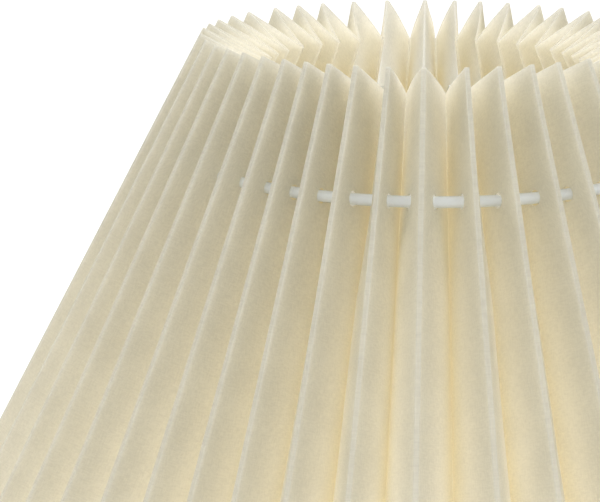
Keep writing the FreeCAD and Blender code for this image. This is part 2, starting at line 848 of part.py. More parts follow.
def shade_edges():
    """The ridges' radius and height at the top and at the hem."""
    top = (size.shade_top_diameter.value / 2, tip_height.value)
    hem = (size.shade_bottom_diameter.value / 2, tip_height.value - size.shade_drop.value)
    return top, hem


def ring_crossing():
    """Where the ring passes through the first panel, and the panel's direction there."""
    ridge_line = [crown_corner(0, 1, edge, 0) for edge in shade_edges()]
    valley_line = [crown_corner(1, -1, edge, 0) for edge in shade_edges()]

    def across(share, level):
        top = ridge_line[0] + (valley_line[0] - ridge_line[0]) * share
        hem = ridge_line[1] + (valley_line[1] - ridge_line[1]) * share
        return top + (hem - top) * ((top.z - level) / (top.z - hem.z))

    near, far = 0.0, 1.0
    for _ in range(HALVINGS):
        middle = (near + far) / 2
        here = across(middle, ring_height.value)
        if math.hypot(here.x, here.y) > ring_radius.value:
            near = middle
        else:
            far = middle
    lower = across(near, ring_height.value - size.ring_hole.value)
    inward = across(near + size.ring_hole.value / size.pleat_width.value, ring_height.value)
    return here, (inward - here).cross(lower - here).normalize()


def make_ring_punches():
    """One punch square to every panel where the ring passes through it, as long as it is wide."""
    place, direction = ring_crossing()
    reach = size.ring_hole
    punches = []
    for pleat in range(pleats):
        turn = FreeCAD.Rotation(FreeCAD.Vector(0, 0, 1), pleat * FULL_TURN / pleats)
        for side in (-1, 1):
            here = FreeCAD.Vector(side * place.x, place.y, place.z)
            facing = FreeCAD.Vector(side * direction.x, direction.y, direction.z)
            start = here - facing * (reach.value / 2)
            lean = FreeCAD.Rotation(FreeCAD.Vector(0, 0, 1), facing)
            punch = doc.addObject("Part::Cylinder", "ring_punch")
            bind(punch, {"Radius": size.ring_hole / 2, "Height": reach})
            punch.Placement = FreeCAD.Placement(turn.multVec(start), turn.multiply(lean))
            punches.append(punch)
    group = doc.addObject("Part::Compound", "ring_punches")
    group.Links = punches
    return group


def make_shade_strips():
    """The two pleated strips that make the shade, lapped and glued just behind and before the side arms."""
    punches = make_ring_punches()
    joint_fold = pleats // 2 + 1
    for label, first_fold in (("shade_strip_back", joint_fold), ("shade_strip_front", joint_fold + pleats)):
        wall = strip_wall(f"{label}_wall", first_fold)
        keep(cut(label, wall, punches), label)


def make_upper_ring():
    """The wire ring in the shade's holes, and the sleeve that closes its ends in a valley at the back."""
    wire = size.ring_wire / 2
    ring = doc.addObject("Part::Torus", "upper_ring")
    bind(ring, {"Radius1": ring_radius, "Radius2": wire, "Placement.Base.z": ring_height})
    keep(ring, "upper_ring")
    sleeve = doc.addObject("Part::Torus", "sleeve_outside")
    core = doc.addObject("Part::Torus", "sleeve_inside")
    arc = size.ferrule_length / ring_radius * math.degrees(1)
    for piece, radius in ((sleeve, wire + size.ferrule_wall), (core, wire)):
        bind(piece, {"Radius1": ring_radius, "Radius2": radius, "Angle3": arc})
        bind(piece, {"Placement.Base.z": ring_height})
        back_valley = QUARTER_TURN + FULL_TURN / 2 / pleats
        turn = back_valley - arc.value / 2
        piece.Placement.Rotation = FreeCAD.Rotation(FreeCAD.Vector(0, 0, 1), turn)
    keep(cut("ring_ferrule", sleeve, core), "ring_ferrule")


def make_lower_hoop():
    """The wire hoop that the inner folds lean on, just above the hem."""
    ridge_end = size.shade_bottom_diameter.value / 2
    ridge_tip = size.shade_top_diameter.value / 2
    end_radius, end_drop = valley_corner(ridge_end)
    tip_radius, tip_drop = valley_corner(ridge_tip)
    fall = size.shade_drop.value + end_drop - tip_drop
    fold_slope = (end_radius - tip_radius) / fall
    hoop_height = tip_height - size.shade_drop + size.hoop_rise
    fold_radius = end_radius - fold_slope * (size.hoop_rise.value + end_drop)
    lean = math.cos(math.atan(fold_slope))
    half_paper = size.paper_thickness.value / 2
    wire = size.hoop_wire.value / 2
    stand_off = half_paper + (wire + size.seat_clearance.value) / lean
    hoop = doc.addObject("Part::Torus", "lower_hoop")
    hoop.Radius1 = fold_radius - stand_off
    bind(hoop, {"Radius2": size.hoop_wire / 2, "Placement.Base.z": hoop_height})
    keep(hoop, "lower_hoop")


pleats = round(size.pleats.value)
bush_radius = size.inlet_bore / 2 + size.bush_wall
inlet_height = foot_low + size.inlet_height
switch_height = cap_low + size.switch_height
insert_radius = holder_radius - size.holder_wall - size.insert_clearance

make_felt_pad()
make_foot()
make_cable_bush()
make_ballast()
make_threaded_tube()
make_column()
make_collar()
make_holder_cap()
make_holder_inside()
make_holder_skirt()
make_switch_bar()
make_shade_nut("lower_shade_nut", nut_low)
make_shade_nut("upper_shade_nut", hub_top)
bulb_cap_top = make_bulb_cap()
make_bulb_glass(bulb_cap_top)
make_bulb_inside(bulb_cap_top)
make_carrier_hub()
for position, arm_name in enumerate(ARM_NAMES):
    make_carrier_arm(f"carrier_arm_{arm_name}", (position - 1) * QUARTER_TURN)
make_shade_strips()
make_upper_ring()
make_lower_hoop()

doc.recompute()

for item in doc.Objects:
    if "Invalid" in item.State or "Error" in item.State:
        raise RuntimeError(f"{item.Label} failed: {item.State}")
for node in nodes:
    if node.Shape.isNull() or not node.Shape.isValid() or not node.Shape.Solids:
        raise RuntimeError(f"{node.Label} has no valid shape")

os.makedirs(NODE_FOLDER, exist_ok=True)
for node in nodes:
    node.Shape.exportStep(f"{NODE_FOLDER}/{node.Label}.step")
    box = node.Shape.BoundBox
    print(
        f"{node.Label}: {node.Shape.Volume / 1000:.2f} cm3, {box.XLength:.1f} wide,"
        f" {box.YLength:.1f} deep, z {box.ZMin:.1f}..{box.ZMax:.1f}"
    )
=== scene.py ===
import json
import math
from contextlib import contextmanager

import bpy
from mathutils import Matrix, Vector, noise


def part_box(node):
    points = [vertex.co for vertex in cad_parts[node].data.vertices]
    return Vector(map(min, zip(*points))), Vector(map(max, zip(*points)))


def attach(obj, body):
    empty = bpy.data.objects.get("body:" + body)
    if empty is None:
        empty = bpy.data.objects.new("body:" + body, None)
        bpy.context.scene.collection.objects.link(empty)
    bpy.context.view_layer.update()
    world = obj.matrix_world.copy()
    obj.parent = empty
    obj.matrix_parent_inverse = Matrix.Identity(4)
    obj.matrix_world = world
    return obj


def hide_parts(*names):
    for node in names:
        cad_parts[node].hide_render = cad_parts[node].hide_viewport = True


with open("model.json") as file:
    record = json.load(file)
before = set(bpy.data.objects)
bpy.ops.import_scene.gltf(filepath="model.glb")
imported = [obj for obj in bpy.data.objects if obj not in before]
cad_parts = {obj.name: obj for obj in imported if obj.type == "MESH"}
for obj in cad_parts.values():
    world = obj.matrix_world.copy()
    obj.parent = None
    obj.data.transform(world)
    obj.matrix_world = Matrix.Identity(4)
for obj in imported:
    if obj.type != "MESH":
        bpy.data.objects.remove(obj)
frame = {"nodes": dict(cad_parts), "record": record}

bl_info = {
    "name": "Pleated Paper Lamp",
    "version": (1, 0, 0),
    "blender": (4, 5, 0),
    "location": "3D View > Sidebar > Lamp",
    "description": "Builds a pleated paper table lamp round its solid model",
    "category": "Object",
}

# Metres and radians, unless a name says otherwise. +Z is up and the front faces -Y.
ROUND = 2 * math.pi
LATHE_SIDES = 96
THREAD_STEPS = 64
DRILL_SIDES = 48
# A turned outline grows from a tiny square, and points closer than these are one.
SEED_SIZE = 0.001
SAME_CORNER = 1e-7
SAME_POINT = 1e-6
SAME_TURNED = 2e-6
# Edges sharper than this many degrees are eased, in so many steps.
EASED_ABOVE = 30
EASED_STEPS = 3
WHITE = (1, 1, 1, 1)
SUBPARTS = frame["record"]["subparts"]
SHADE_NODES = [part["node"] for part in SUBPARTS if part["material_slot"] == "shade_paper"]
TIP_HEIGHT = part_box(SHADE_NODES[0])[1].z
RING_LOW, RING_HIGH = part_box("upper_ring")
HOOP_LOW, HOOP_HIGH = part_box("lower_hoop")
FOOT_LOW, FOOT_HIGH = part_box("foot")
COLUMN_LOW, COLUMN_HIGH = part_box("column")
COLLAR_LOW, COLLAR_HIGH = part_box("neck_collar")
CAP_LOW, CAP_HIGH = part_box("holder_cap")
SKIRT_LOW, SKIRT_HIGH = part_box("holder_skirt")
GLASS_LOW, GLASS_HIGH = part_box("bulb_glass")

# Gaps between one ridge and the next in degrees, from the front round to the right. The pleats were
# pushed along the ring by hand, so they crowd at the front left and stand open at the back.
RIDGE_GAPS = (
    9.5, 7.3, 7.8, 6.9, 8.9, 8.6, 8.4, 8.2, 8.2, 8.1, 8.1,
    7.6, 7.5, 7.6, 7.6, 7.5, 9.8, 7.8, 9.8, 8.4, 7.6, 8.8,
    11.2, 10.2, 9.8, 8.2, 8.4, 11.0, 8.2, 8.0, 7.6, 7.4,
    10.2, 10.4, 8.2, 7.1, 7.1, 7.0, 6.5, 6.1, 5.8, 6.4, 7.4, 7.8,
)
# Inner folds whose top stands off the middle between two ridges, in degrees, by the ridge before them.
FOLD_OFFSETS = {0: 2.4, 43: -1.5}
# The first and the last ridge of each strip: the strips meet beside the two side arms.
STRIPS = {"paper_strip_back": (12, 32), "paper_strip_front": (33, 55)}


# The sizes and colours that a user would change.


def length(name, text, default):
    return bpy.props.FloatProperty(name=name, description=text, default=default, unit="LENGTH", precision=5)


def tilt(name, text, default):
    return bpy.props.FloatProperty(name=name, description=text, default=default, subtype="ANGLE")


def number(name, text, default):
    return bpy.props.FloatProperty(name=name, description=text, default=default)


def count(name, text, default):
    return bpy.props.IntProperty(name=name, description=text, default=default, min=1)


def colour(name, text, default):
    return bpy.props.FloatVectorProperty(
        name=name, description=text, default=default, subtype="COLOR", size=3, min=0, max=1
    )


class LampShadeSizes(bpy.types.PropertyGroup):
    """Sizes of the pleated strip."""

    top_radius: length("Top radius", "From the axis to a ridge's tip", 0.070)
    hem_radius: length("Hem radius", "From the axis to a ridge's lower end", 0.180)
    drop: length("Drop", "Height from a ridge's tip to its lower end", 0.200)
    leaf: length("Leaf width", "Paper between two folds", 0.0226)
    crown: length("Crown width", "Flat back of each ridge", 0.0009)
    crease: length("Crease width", "Rounded bottom of each inner fold", 0.0005)
    paper: length("Paper thickness", "Laminated paper", 0.00042)
    top_bulge: length("Bulge at the top", "How far a leaf swells at its free edge", 0.0003)
    ring_bulge: length("Bulge at the ring", "How far a leaf swells where the ring holds it", 0.0007)
    main_bulge: length("Bulge below the ring", "How far a leaf swells below the ring", 0.0016)
    hem_bulge: length("Bulge at the hem", "How far a leaf swells at the hem", 0.0005)
    hole_radius: length("Hole radius", "Hole that the ring passes through", 0.0022)
    pucker: length("Pucker", "How far a hole's lip stands out of the paper", 0.00012)
    joint_rise: length("Joint rise", "From an inner fold to where a strip's end dips", 0.002)
    joint_dip: length("Joint dip", "Width of that dip", 0.001)
    joint_lap: length("Joint lap", "Glued overlap of the two strips", 0.005)
    glue: length("Glue", "Between the lapped ends", 0.00005)


class LampRingSizes(bpy.types.PropertyGroup):
    """Sizes of the threaded ring and the hem hoop."""

    wire: length("Ring wire", "Diameter of the threaded ring's wire", 0.0032)
    butt_gap: length("Butt gap", "Between the ring's two ends inside the ferrule", 0.0006)
    ferrule_wall: length("Ferrule wall", "Sleeve that closes the ring", 0.0005)
    ferrule_length: length("Ferrule length", "Sleeve that closes the ring", 0.0054)
    hoop_wire: length("Hoop wire", "Diameter of the hem hoop's wire", 0.003)
    crimp: length("Crimp", "Depth of the ferrule's two crimps", 0.00035)
    weld: length("Weld bead", "How far the hoop's weld stands out", 0.0003)
    weld_length: length("Weld length", "Weld that closes the hoop", 0.0016)
    wire_sides: count("Sides of the wire", "Flats round the wire", 24)
    ring_steps: count("Steps of the ring", "Flats round the ring", 256)


class LampStandSizes(bpy.types.PropertyGroup):
    """Sizes of the foot, the column and the fittings on it that the solids' boxes don't give."""

    bore: length("Bore", "Hole through the turned pieces for the tube, radius", 0.0052)
    foot_edge: length("Foot edge", "Upright part of the foot's side", 0.014)
    foot_dome: length("Foot dome", "Rise of the foot's curved top", 0.003)
    foot_easing: length("Foot easing", "Rounding of the foot's edges", 0.0012)
    recess_radius: length("Recess radius", "Hollow under the foot", 0.062)
    recess_depth: length("Recess depth", "Hollow under the foot", 0.022)
    felt_easing: length("Felt easing", "Rounding of the felt's edge", 0.0007)
    inlet_height: length("Inlet height", "Centre of the inlet above the table", 0.009)
    inlet_bore: length("Inlet bore", "Radius of the hole through the bush", 0.0031)
    bush_body: length("Bush body", "Radius of the bush in the foot", 0.0044)
    bush_flange: length("Bush flange", "Radius of the bush's flange", 0.0067)
    column_edge: length("Column edge", "Upright edge at the column's base", 0.005)
    flare_height: length("Flare height", "Hollow flare above that edge", 0.044)
    flare_bow: length("Flare bow", "Depth of the flare's curve", 0.008)
    waist: length("Waist", "Column's radius above the flare", 0.0135)
    neck: length("Neck", "Column's radius under its head", 0.011)
    head: length("Head", "Column's radius at its top", 0.016)
    head_height: length("Head height", "Hollow curve of the head", 0.018)
    head_bow: length("Head bow", "Depth of the head's curve", 0.003)
    head_edge: length("Head edge", "Upright edge at the column's top", 0.006)
    turning_easing: length("Turning easing", "Rounding of the column's edges", 0.0007)
    collar_rounding: length("Collar rounding", "Upper edge of the collar", 0.003)


class LampHolderSizes(bpy.types.PropertyGroup):
    """Sizes of the lampholder, the carrier and the bulb that the solids' boxes don't give."""

    wall: length("Wall", "Wall of the cap and the skirt", 0.002)
    cap_neck: length("Cap neck", "Radius of the cap where it stands on its nut", 0.009)
    cap_shoulder: length("Cap shoulder", "Height of the cap's shoulder", 0.009)
    cap_bow: length("Shoulder bow", "Bulge of that shoulder", 0.0035)
    boss_height: length("Boss height", "Threaded boss in the cap", 0.010)
    disc_overlap: length("Disc overlap", "Insulating disc inside the skirt", 0.002)
    mouth: length("Mouth", "Radius of the mouth that the bulb screws into", 0.0145)
    easing: length("Easing", "Rounding of moulded edges", 0.0006)
    thread_pitch: length("Thread pitch", "Thread round the skirt", 0.0024)
    thread_depth: length("Thread depth", "Thread round the skirt", 0.0006)
    bar: length("Push bar", "Radius of the push bar", 0.0023)
    bar_hole: length("Bar hole", "Radius of the holes for the push bar", 0.0025)
    button: length("Button", "Radius of the bar's buttons", 0.004)
    button_length: length("Button length", "Buttons of the push bar", 0.005)
    button_dome: length("Button dome", "Rise of a button's end", 0.0007)
    nut_bore: length("Nut bore", "Radius of the hole in the shade nuts", 0.01955)
    nut_easing: length("Nut easing", "Rim of the shade nuts", 0.0015)
    grip_count: count("Grips", "Grooves round a shade nut", 36)
    grip_depth: length("Grip depth", "Grooves round a shade nut", 0.0004)
    hub_bore: length("Hub bore", "Radius of the hole in the carrier's hub", 0.0198)
    arm_easing: length("Arm easing", "Edges of the flat arms", 0.0004)
    weld_length: length("Weld length", "Bead along an arm's foot", 0.0055)
    weld_radius: length("Weld radius", "Bead along an arm's foot", 0.0008)
    glass_wall: length("Glass wall", "Glass of the bulb", 0.0009)
    glass_neck: length("Glass neck", "Radius of the glass where it enters the cap", 0.0125)
    glass_neck_height: length("Glass neck height", "Straight glass in the cap", 0.0043)
    glass_shoulder: length("Glass shoulder", "From the widest height down to the neck's sweep", 0.012)
    glass_bow: length("Glass bow", "Hollow of the glass above its neck", 0.002)


class LampColours(bpy.types.PropertyGroup):
    """Colours of the lamp's finishes."""

    # Painted light: the paper is lighter in the depth of the pleats than beside the ridges, standing in for
    # the light that fills them.
    paper: colour("Paper", "Leaves of the shade, clean in the depth of the pleats", (0.98, 0.94, 0.82))
    # Painted shade: the leaves beside the ridges are greyer, standing in for the shade that falls there.
    paper_outer: colour("Outer paper", "Leaves beside the ridges, handled most", (0.68, 0.66, 0.565))
    # Painted shade: the backs of the folds are darker, standing in for the shadow along each ridge.
    paper_ridge: colour("Paper at the ridges", "Handled backs of the folds", (0.50, 0.51, 0.46))
    paper_thread: colour("Threads", "Frayed threads along ridges and cut edges", (0.64, 0.645, 0.585))
    # Painted glow: a golden colour deep in the inner folds stands in for light gathering there.
    paper_crease: colour("Paper in the creases", "Depth of the inner folds", (0.98, 0.90, 0.68))
    glow: colour("Light through the paper", "Light that the paper lets through", (0.99, 0.955, 0.84))
    # Painted shade: less light passes through the paper beside the ridges.
    glow_outer: colour("Light through the outer paper", "Beside the ridges", (0.89, 0.86, 0.76))
    wire: colour("Wire coating", "White coating of the wires", (0.84, 0.87, 0.86))
    wood: colour("Wood", "Oiled pale wood", (0.62, 0.42, 0.24))
    wood_grain: colour("Grain", "Late wood and pores", (0.40, 0.24, 0.12))
    felt: colour("Felt", "Pad under the foot", (0.10, 0.10, 0.09))
    iron: colour("Iron", "Painted ballast", (0.05, 0.05, 0.05))
    steel: colour("Zinc plate", "Nuts, washer and tube", (0.62, 0.63, 0.64))
    brass: colour("Brass", "Collar and sleeve", (0.78, 0.57, 0.27))
    plastic: colour("Lampholder", "Moulded lampholder", (0.80, 0.79, 0.75))
    bush: colour("Bush", "Inlet bush", (0.62, 0.60, 0.55))
    ceramic: colour("Insulating disc", "Disc in the lampholder", (0.78, 0.76, 0.70))
    bulb_metal: colour("Bulb cap", "Screw cap of the bulb", (0.66, 0.66, 0.65))
    bulb_black: colour("Bulb glaze", "Black glass under the bulb's cap", (0.02, 0.02, 0.02))
    opal: colour("Opal glass", "Glass of the bulb", (0.86, 0.85, 0.82))
    clear: colour("Clear glass", "Mount in the bulb", (0.90, 0.92, 0.92))
    rods: colour("Lit rods", "Yellow coated rods", (0.80, 0.62, 0.20))
    floor: colour("Floor", "Pale floor", (0.82, 0.82, 0.82))


class LampStageSizes(bpy.types.PropertyGroup):
    """Camera, floor and lights."""

    camera_distance: length("Camera distance", "From the axis to the camera", 0.450)
    camera_rise: length("Camera rise", "From the ridge tips up to the camera", 0.0665)
    turn: tilt("Turn", "Camera's turn to the left", 0.088)
    pitch: tilt("Pitch", "Camera's tilt downward", 0.301)
    roll: tilt("Roll", "Camera's roll", -0.007)
    lens: number("Lens", "Focal length in millimetres on a 36 mm sensor", 85.6)
    floor_size: length("Floor", "Side of the floor", 14.0)
    sky: number("Sky", "Strength of the even light", 0.81)
    key: number("Left light", "Power of the light at the left in watts", 4.2)
    fill: number("Right light", "Power of the light at the right in watts", 4.2)
    top: number("Top light", "Power of the light above and behind the lamp in watts", 6.0)


# Selecting and editing.


def nothing():
    """Leaves nothing selected, in object mode."""
    if bpy.context.mode != "OBJECT":
        bpy.ops.object.mode_set(mode="OBJECT")
    bpy.ops.object.select_all(action="DESELECT")


def only(piece):
    """Selects one piece and nothing else."""
    nothing()
    piece.select_set(True)
    bpy.context.view_layer.objects.active = piece


@contextmanager
def editing(piece, action="SELECT"):
    """Opens a piece's mesh for editing, with all of it selected or, by DESELECT, none of it."""
    only(piece)
    bpy.ops.object.mode_set(mode="EDIT")
    bpy.ops.mesh.select_all(action=action)
    yield
    bpy.ops.object.mode_set(mode="OBJECT")


@contextmanager
def editing_some(piece, kind, items, chosen):
    """Opens a piece's mesh for editing, with only the chosen points, edges or faces selected."""
    with editing(piece, "DESELECT"):
        bpy.ops.mesh.select_mode(type=kind)
    for item in items:
        item.select = chosen(item)
    bpy.ops.object.mode_set(mode="EDIT")
    yield
    bpy.ops.object.mode_set(mode="OBJECT")


def made(operator, name, **settings):
    """A new mesh from one of Blender's own operators."""
    nothing()
    operator(**settings)
    piece = bpy.context.object
    piece.name = name
    return piece


def apply_modifier(piece, kind, **settings):
    """Adds a modifier to a piece and applies it."""
    only(piece)
    modifier = piece.modifiers.new(kind.title(), kind)
    for name, value in settings.items():
        setattr(modifier, name, value)
    bpy.ops.object.modifier_apply(modifier=modifier.name)


def place_applied(piece):
    """Puts a piece's place into its mesh."""
    only(piece)
    bpy.ops.object.transform_apply(location=True, rotation=True, scale=True)


def smoothed(piece, degrees):
    """Shades a piece smooth, apart from its sharp edges."""
    only(piece)
    bpy.ops.object.shade_smooth_by_angle(angle=math.radians(degrees))


def cleaned(piece, distance=SAME_POINT):
    """Merges doubled points and turns all faces outward."""
    with editing(piece):
        bpy.ops.mesh.remove_doubles(threshold=distance)
        bpy.ops.mesh.normals_make_consistent(inside=False)


def dress(piece, finish):
    """Gives a piece or a solid its finish in place of any other."""
    piece.data.materials.clear()
    piece.data.materials.append(finish)


def finished(piece, body, slot, nodes, finish=None, degrees=35):
    """Smooths a piece, gives it its finish, hangs it on its body and hides the solids that it takes the
    place of.
    """
    smoothed(piece, degrees)
    dress(piece, finish or slot_finish(slot))
    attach(piece, body)
    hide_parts(*nodes)
    nothing()


# Outlines of turned pieces: (radius, height) points.


def bowed(start, end, rise, steps=12):
    """Points of the arc from start to end that rises so far above its chord, to its left."""
    start, end = Vector(start), Vector(end)
    chord = end - start
    side = Vector((-chord.y, chord.x)).normalized()
    turn = 4 * math.atan(2 * rise / chord.length)
    points = []
    for step in range(steps + 1):
        spun = turn * (step / steps - 0.5)
        reach = chord.length / 2 / math.sin(turn / 2)
        along = 0.5 + reach * math.sin(spun) / chord.length
        lift = reach * (math.cos(spun) - math.cos(turn / 2))
        points.append(tuple(start + chord * along + side * lift))
    return points


def washer(bore, low, high):
    """The outline of a flat turned piece that fills a box, round a bore."""
    return [(bore, low.z), (high.x, low.z), (high.x, high.z), (bore, high.z)]


def drawn(name, outline, closed):
    """An outline in the upright plane through the axis, drawn corner by corner."""
    corners = [Vector((radius, 0, height)) for radius, height in outline]
    piece = made(bpy.ops.mesh.primitive_plane_add, name, size=SEED_SIZE, location=corners[0])
    place_applied(piece)
    if closed:
        corners.append(corners[0])
    with editing(piece):
        bpy.ops.mesh.select_mode(type="VERT")
        bpy.ops.mesh.merge(type="CENTER")
        for here, there in zip(corners, corners[1:]):
            bpy.ops.mesh.extrude_region_move(TRANSFORM_OT_translate={"value": there - here})
        bpy.ops.mesh.select_all(action="SELECT")
        bpy.ops.mesh.remove_doubles(threshold=SAME_CORNER)
    return piece


def lathe(name, outline, easing=0.0, sides=LATHE_SIDES):
    """A piece turned on a lathe, with its sharp edges eased."""
    piece = drawn(name, outline, closed=outline[0][0] > 0)
    with editing(piece):
        bpy.ops.mesh.spin(steps=sides, angle=ROUND, center=(0, 0, 0), axis=(0, 0, 1))
    cleaned(piece, SAME_TURNED)
    if easing:
        eased(piece, easing)
    return piece


def eased(piece, width):
    """Rounds a piece's sharp edges."""
    limit = {"limit_method": "ANGLE", "angle_limit": math.radians(EASED_ABOVE)}
    apply_modifier(piece, "BEVEL", width=width, segments=EASED_STEPS, **limit)


def thread(name, crest, depth, pitch, low, turns):
    """A screw thread: one tooth's outline, wound upward."""
    root = crest - depth
    tooth = ((root, 0), (crest, 0.35), (crest, 0.5), (root, 0.85), (root, 1))
    piece = drawn(name, [(radius, low + share * pitch) for radius, share in tooth], closed=False)
    apply_modifier(
        piece,
        "SCREW",
        angle=ROUND,
        screw_offset=pitch,
        iterations=turns,
        steps=THREAD_STEPS,
        render_steps=THREAD_STEPS,
        use_merge_vertices=True,
    )
    cleaned(piece, SAME_TURNED)
    return piece


def joined(pieces):
    """Several meshes made one, which keeps the first one's name."""
    nothing()
    for piece in pieces:
        piece.select_set(True)
    bpy.context.view_layer.objects.active = pieces[0]
    bpy.ops.object.join()
    return pieces[0]


def moved(piece, matrix):
    """Moves a piece and puts the move into its mesh."""
    piece.matrix_world = matrix
    place_applied(piece)
    return piece


def drilled(piece, matrix, radius, depth):
    """Drills a round hole along a direction."""
    size = {"vertices": DRILL_SIDES, "radius": radius, "depth": depth}
    drill = made(bpy.ops.mesh.primitive_cylinder_add, "drill", **size)
    moved(drill, matrix)
    apply_modifier(piece, "BOOLEAN", operation="DIFFERENCE", object=drill, solver="EXACT")
    bpy.data.objects.remove(drill, do_unlink=True)


ALONG_X = Matrix.Rotation(math.pi / 2, 4, "Y")
ALONG_Y = Matrix.Rotation(-math.pi / 2, 4, "X")


# The shade.


def ridge_angles():
    """The angle of each ridge from the front, toward the right."""
    angles, here = [], 0.0
    for gap in RIDGE_GAPS:
        angles.append(math.radians(here))
        here += gap
    return angles


def inner_fold(sizes, ridge_radius, half_pitch):
    """Radius of an inner fold at one end of the shade, and how far it lies below the ridge ends."""
    slope = (sizes.hem_radius - sizes.top_radius) / sizes.drop
    lean = math.atan(slope)
    along = math.cos(half_pitch) / math.cos(lean)
    reach = ridge_radius / math.cos(lean)
    square = along**2 + math.sin(half_pitch) ** 2
    spare = reach**2 - sizes.leaf**2
    radius = (reach * along - math.sqrt((reach * along) ** 2 - square * spare)) / square
    depth = (ridge_radius - radius * math.cos(half_pitch)) / math.cos(lean)
    return radius, depth * math.sin(lean)


def polar(radius, angle, height):
    """A point by its radius, its angle from the front toward the right, and its height."""
    return Vector((radius * math.sin(angle), -radius * math.cos(angle), height))


# Where the paper's swell changes along a leaf, as shares of its length, and what is left of it further down.
RING_SHARE = 0.17
FULL_SHARE = 0.27
WANE_SHARE = 0.55
WANED = 0.9
# The swell's highest line stands nearer the fold than the ridge, and each leaf wanders a little by itself.
SWELL_SKEW = 1.3
WANDER = 0.0004
WANDER_SCALE = (1.3, 5)
WANDER_START = (7.31, 3.17)
# Steps across a leaf for its direction and for finding its hole, and how often the hole's place is bettered.
DIRECTION_STEP = 0.01
HOLE_STEP = 1e-4
HOLE_TRIES = 12


def held(share):
    """A share kept from 0 to 1."""
    return min(max(share, 0), 1)


class Leaf:
    """One flat of the strip between a ridge and the inner fold beside it."""

    def __init__(self, sizes, index, ridge_angle, fold_angle, half_pitch, offset):
        self.sizes = sizes
        self.side = 1 if fold_angle > ridge_angle else -1
        self.seed = Vector((index * WANDER_START[0], index * WANDER_START[1], 0.0))
        hem = TIP_HEIGHT - sizes.drop
        top_radius, top_drop = inner_fold(sizes, sizes.top_radius, half_pitch)
        hem_radius, hem_drop = inner_fold(sizes, sizes.hem_radius, math.pi / len(RIDGE_GAPS))
        self.ridge = (
            polar(sizes.top_radius, ridge_angle, TIP_HEIGHT),
            polar(sizes.hem_radius, ridge_angle, hem),
        )
        self.fold = (
            polar(top_radius, fold_angle + offset, TIP_HEIGHT - top_drop),
            polar(hem_radius, fold_angle, hem - hem_drop),
        )
        across = polar(1, ridge_angle + math.pi / 2, 0) * self.side
        inward = polar(1, fold_angle + math.pi / 2, 0) * -self.side
        self.ridge_corner = tuple(point + across * sizes.crown / 2 for point in self.ridge)
        self.fold_corner = tuple(point + inward * sizes.crease / 2 for point in self.fold)
        self.length = (self.ridge[1] - self.ridge[0]).length
        self.width = (self.fold_corner[0] - self.ridge_corner[0]).length

    def flat(self, across, along):
        """A point of the leaf before it swells: across and along run from 0 to 1."""
        near = self.ridge_corner[0].lerp(self.ridge_corner[1], along)
        far = self.fold_corner[0].lerp(self.fold_corner[1], along)
        return near.lerp(far, across)

    def outward(self, across, along):
        """The leaf's direction away from its own ridge."""
        step = DIRECTION_STEP
        over = self.flat(across + step, along) - self.flat(across, along)
        down = self.flat(across, along + step) - self.flat(across, along)
        return down.cross(over).normalized() * self.side

    def swell(self, along):
        """How far the leaf swells so far down: little where the ring holds it, most just below that."""
        sizes = self.sizes
        stops = (
            (0.0, sizes.top_bulge),
            (RING_SHARE, sizes.ring_bulge),
            (FULL_SHARE, sizes.main_bulge),
            (WANE_SHARE, sizes.main_bulge * WANED),
            (1.0, sizes.hem_bulge),
        )
        for (start, low), (end, high) in zip(stops, stops[1:]):
            if along <= end:
                share = held((along - start) / (end - start))
                return low + (high - low) * share * share * (3 - 2 * share)
        return stops[-1][1]

    def at(self, across, along):
        """A point of the swollen leaf."""
        bulge = self.swell(along) * math.sin(math.pi * held(across) ** SWELL_SKEW)
        place = Vector((across * WANDER_SCALE[0], along * WANDER_SCALE[1], 0))
        wander = noise.noise(self.seed + place) * WANDER * math.sin(math.pi * held(across))
        return self.flat(across, along) + self.outward(across, along) * (bulge + wander)

    def hole(self, ring_radius, ring_height):
        """Where the ring's centre line passes through the leaf, as (across, along)."""

        def miss(across, along):
            here = self.at(across, along)
            return Vector((math.hypot(here.x, here.y) - ring_radius, here.z - ring_height))

        across, along = 0.5, RING_SHARE
        for _ in range(HOLE_TRIES):
            here = miss(across, along)
            by_over = miss(across + HOLE_STEP, along) - here
            by_down = miss(across, along + HOLE_STEP) - here
            jacobian = Matrix(((by_over.x, by_down.x), (by_over.y, by_down.y))) * (1 / HOLE_STEP)
            move = jacobian.inverted() @ here
            across -= move.x
            along -= move.y
        return across, along


# A leaf's mesh: lines round the hole in hole radii, rows as shares of the leaf's length, and columns as
# shares of the way from the ridge to the hole's lines (outer) and from the ridge to the fold (inner).
HOLE_LINES = (-2.0, -1.0, -0.5, 0.0, 0.5, 1.0, 2.0)
ROWS_ABOVE = (0.0, 0.012, 0.04, 0.085, 0.12)
ROWS_BELOW = (0.225, 0.27, 0.33, 0.40, 0.48, 0.56, 0.64, 0.72, 0.80, 0.87, 0.93, 0.975, 1.0)
COLUMNS_OUTER = (0.04, 0.25, 0.62)
COLUMNS_INNER = (0.74, 0.85, 0.94, 0.985)
# How much of a ridge's back is flat, and where the crown's and the crease's inner lines lie in the UV map.
CROWN_FLAT = 0.9
CROWN_LINE = 0.003
CREASE_LINE = 0.995
ROW_AT_HOLE = (ROWS_ABOVE[-1] + ROWS_BELOW[0]) / 2


def leaf_columns(leaf, hole_across):
    """Columns of a whole leaf from ridge to inner fold, as (across, line beside the hole, sunk)."""
    step = leaf.sizes.hole_radius / leaf.width
    columns = [(share * (hole_across + HOLE_LINES[0] * step), None, 0) for share in COLUMNS_OUTER]
    columns += [(hole_across + line * step, line, 0) for line in HOLE_LINES]
    return columns + [(share, None, 0) for share in COLUMNS_INNER]


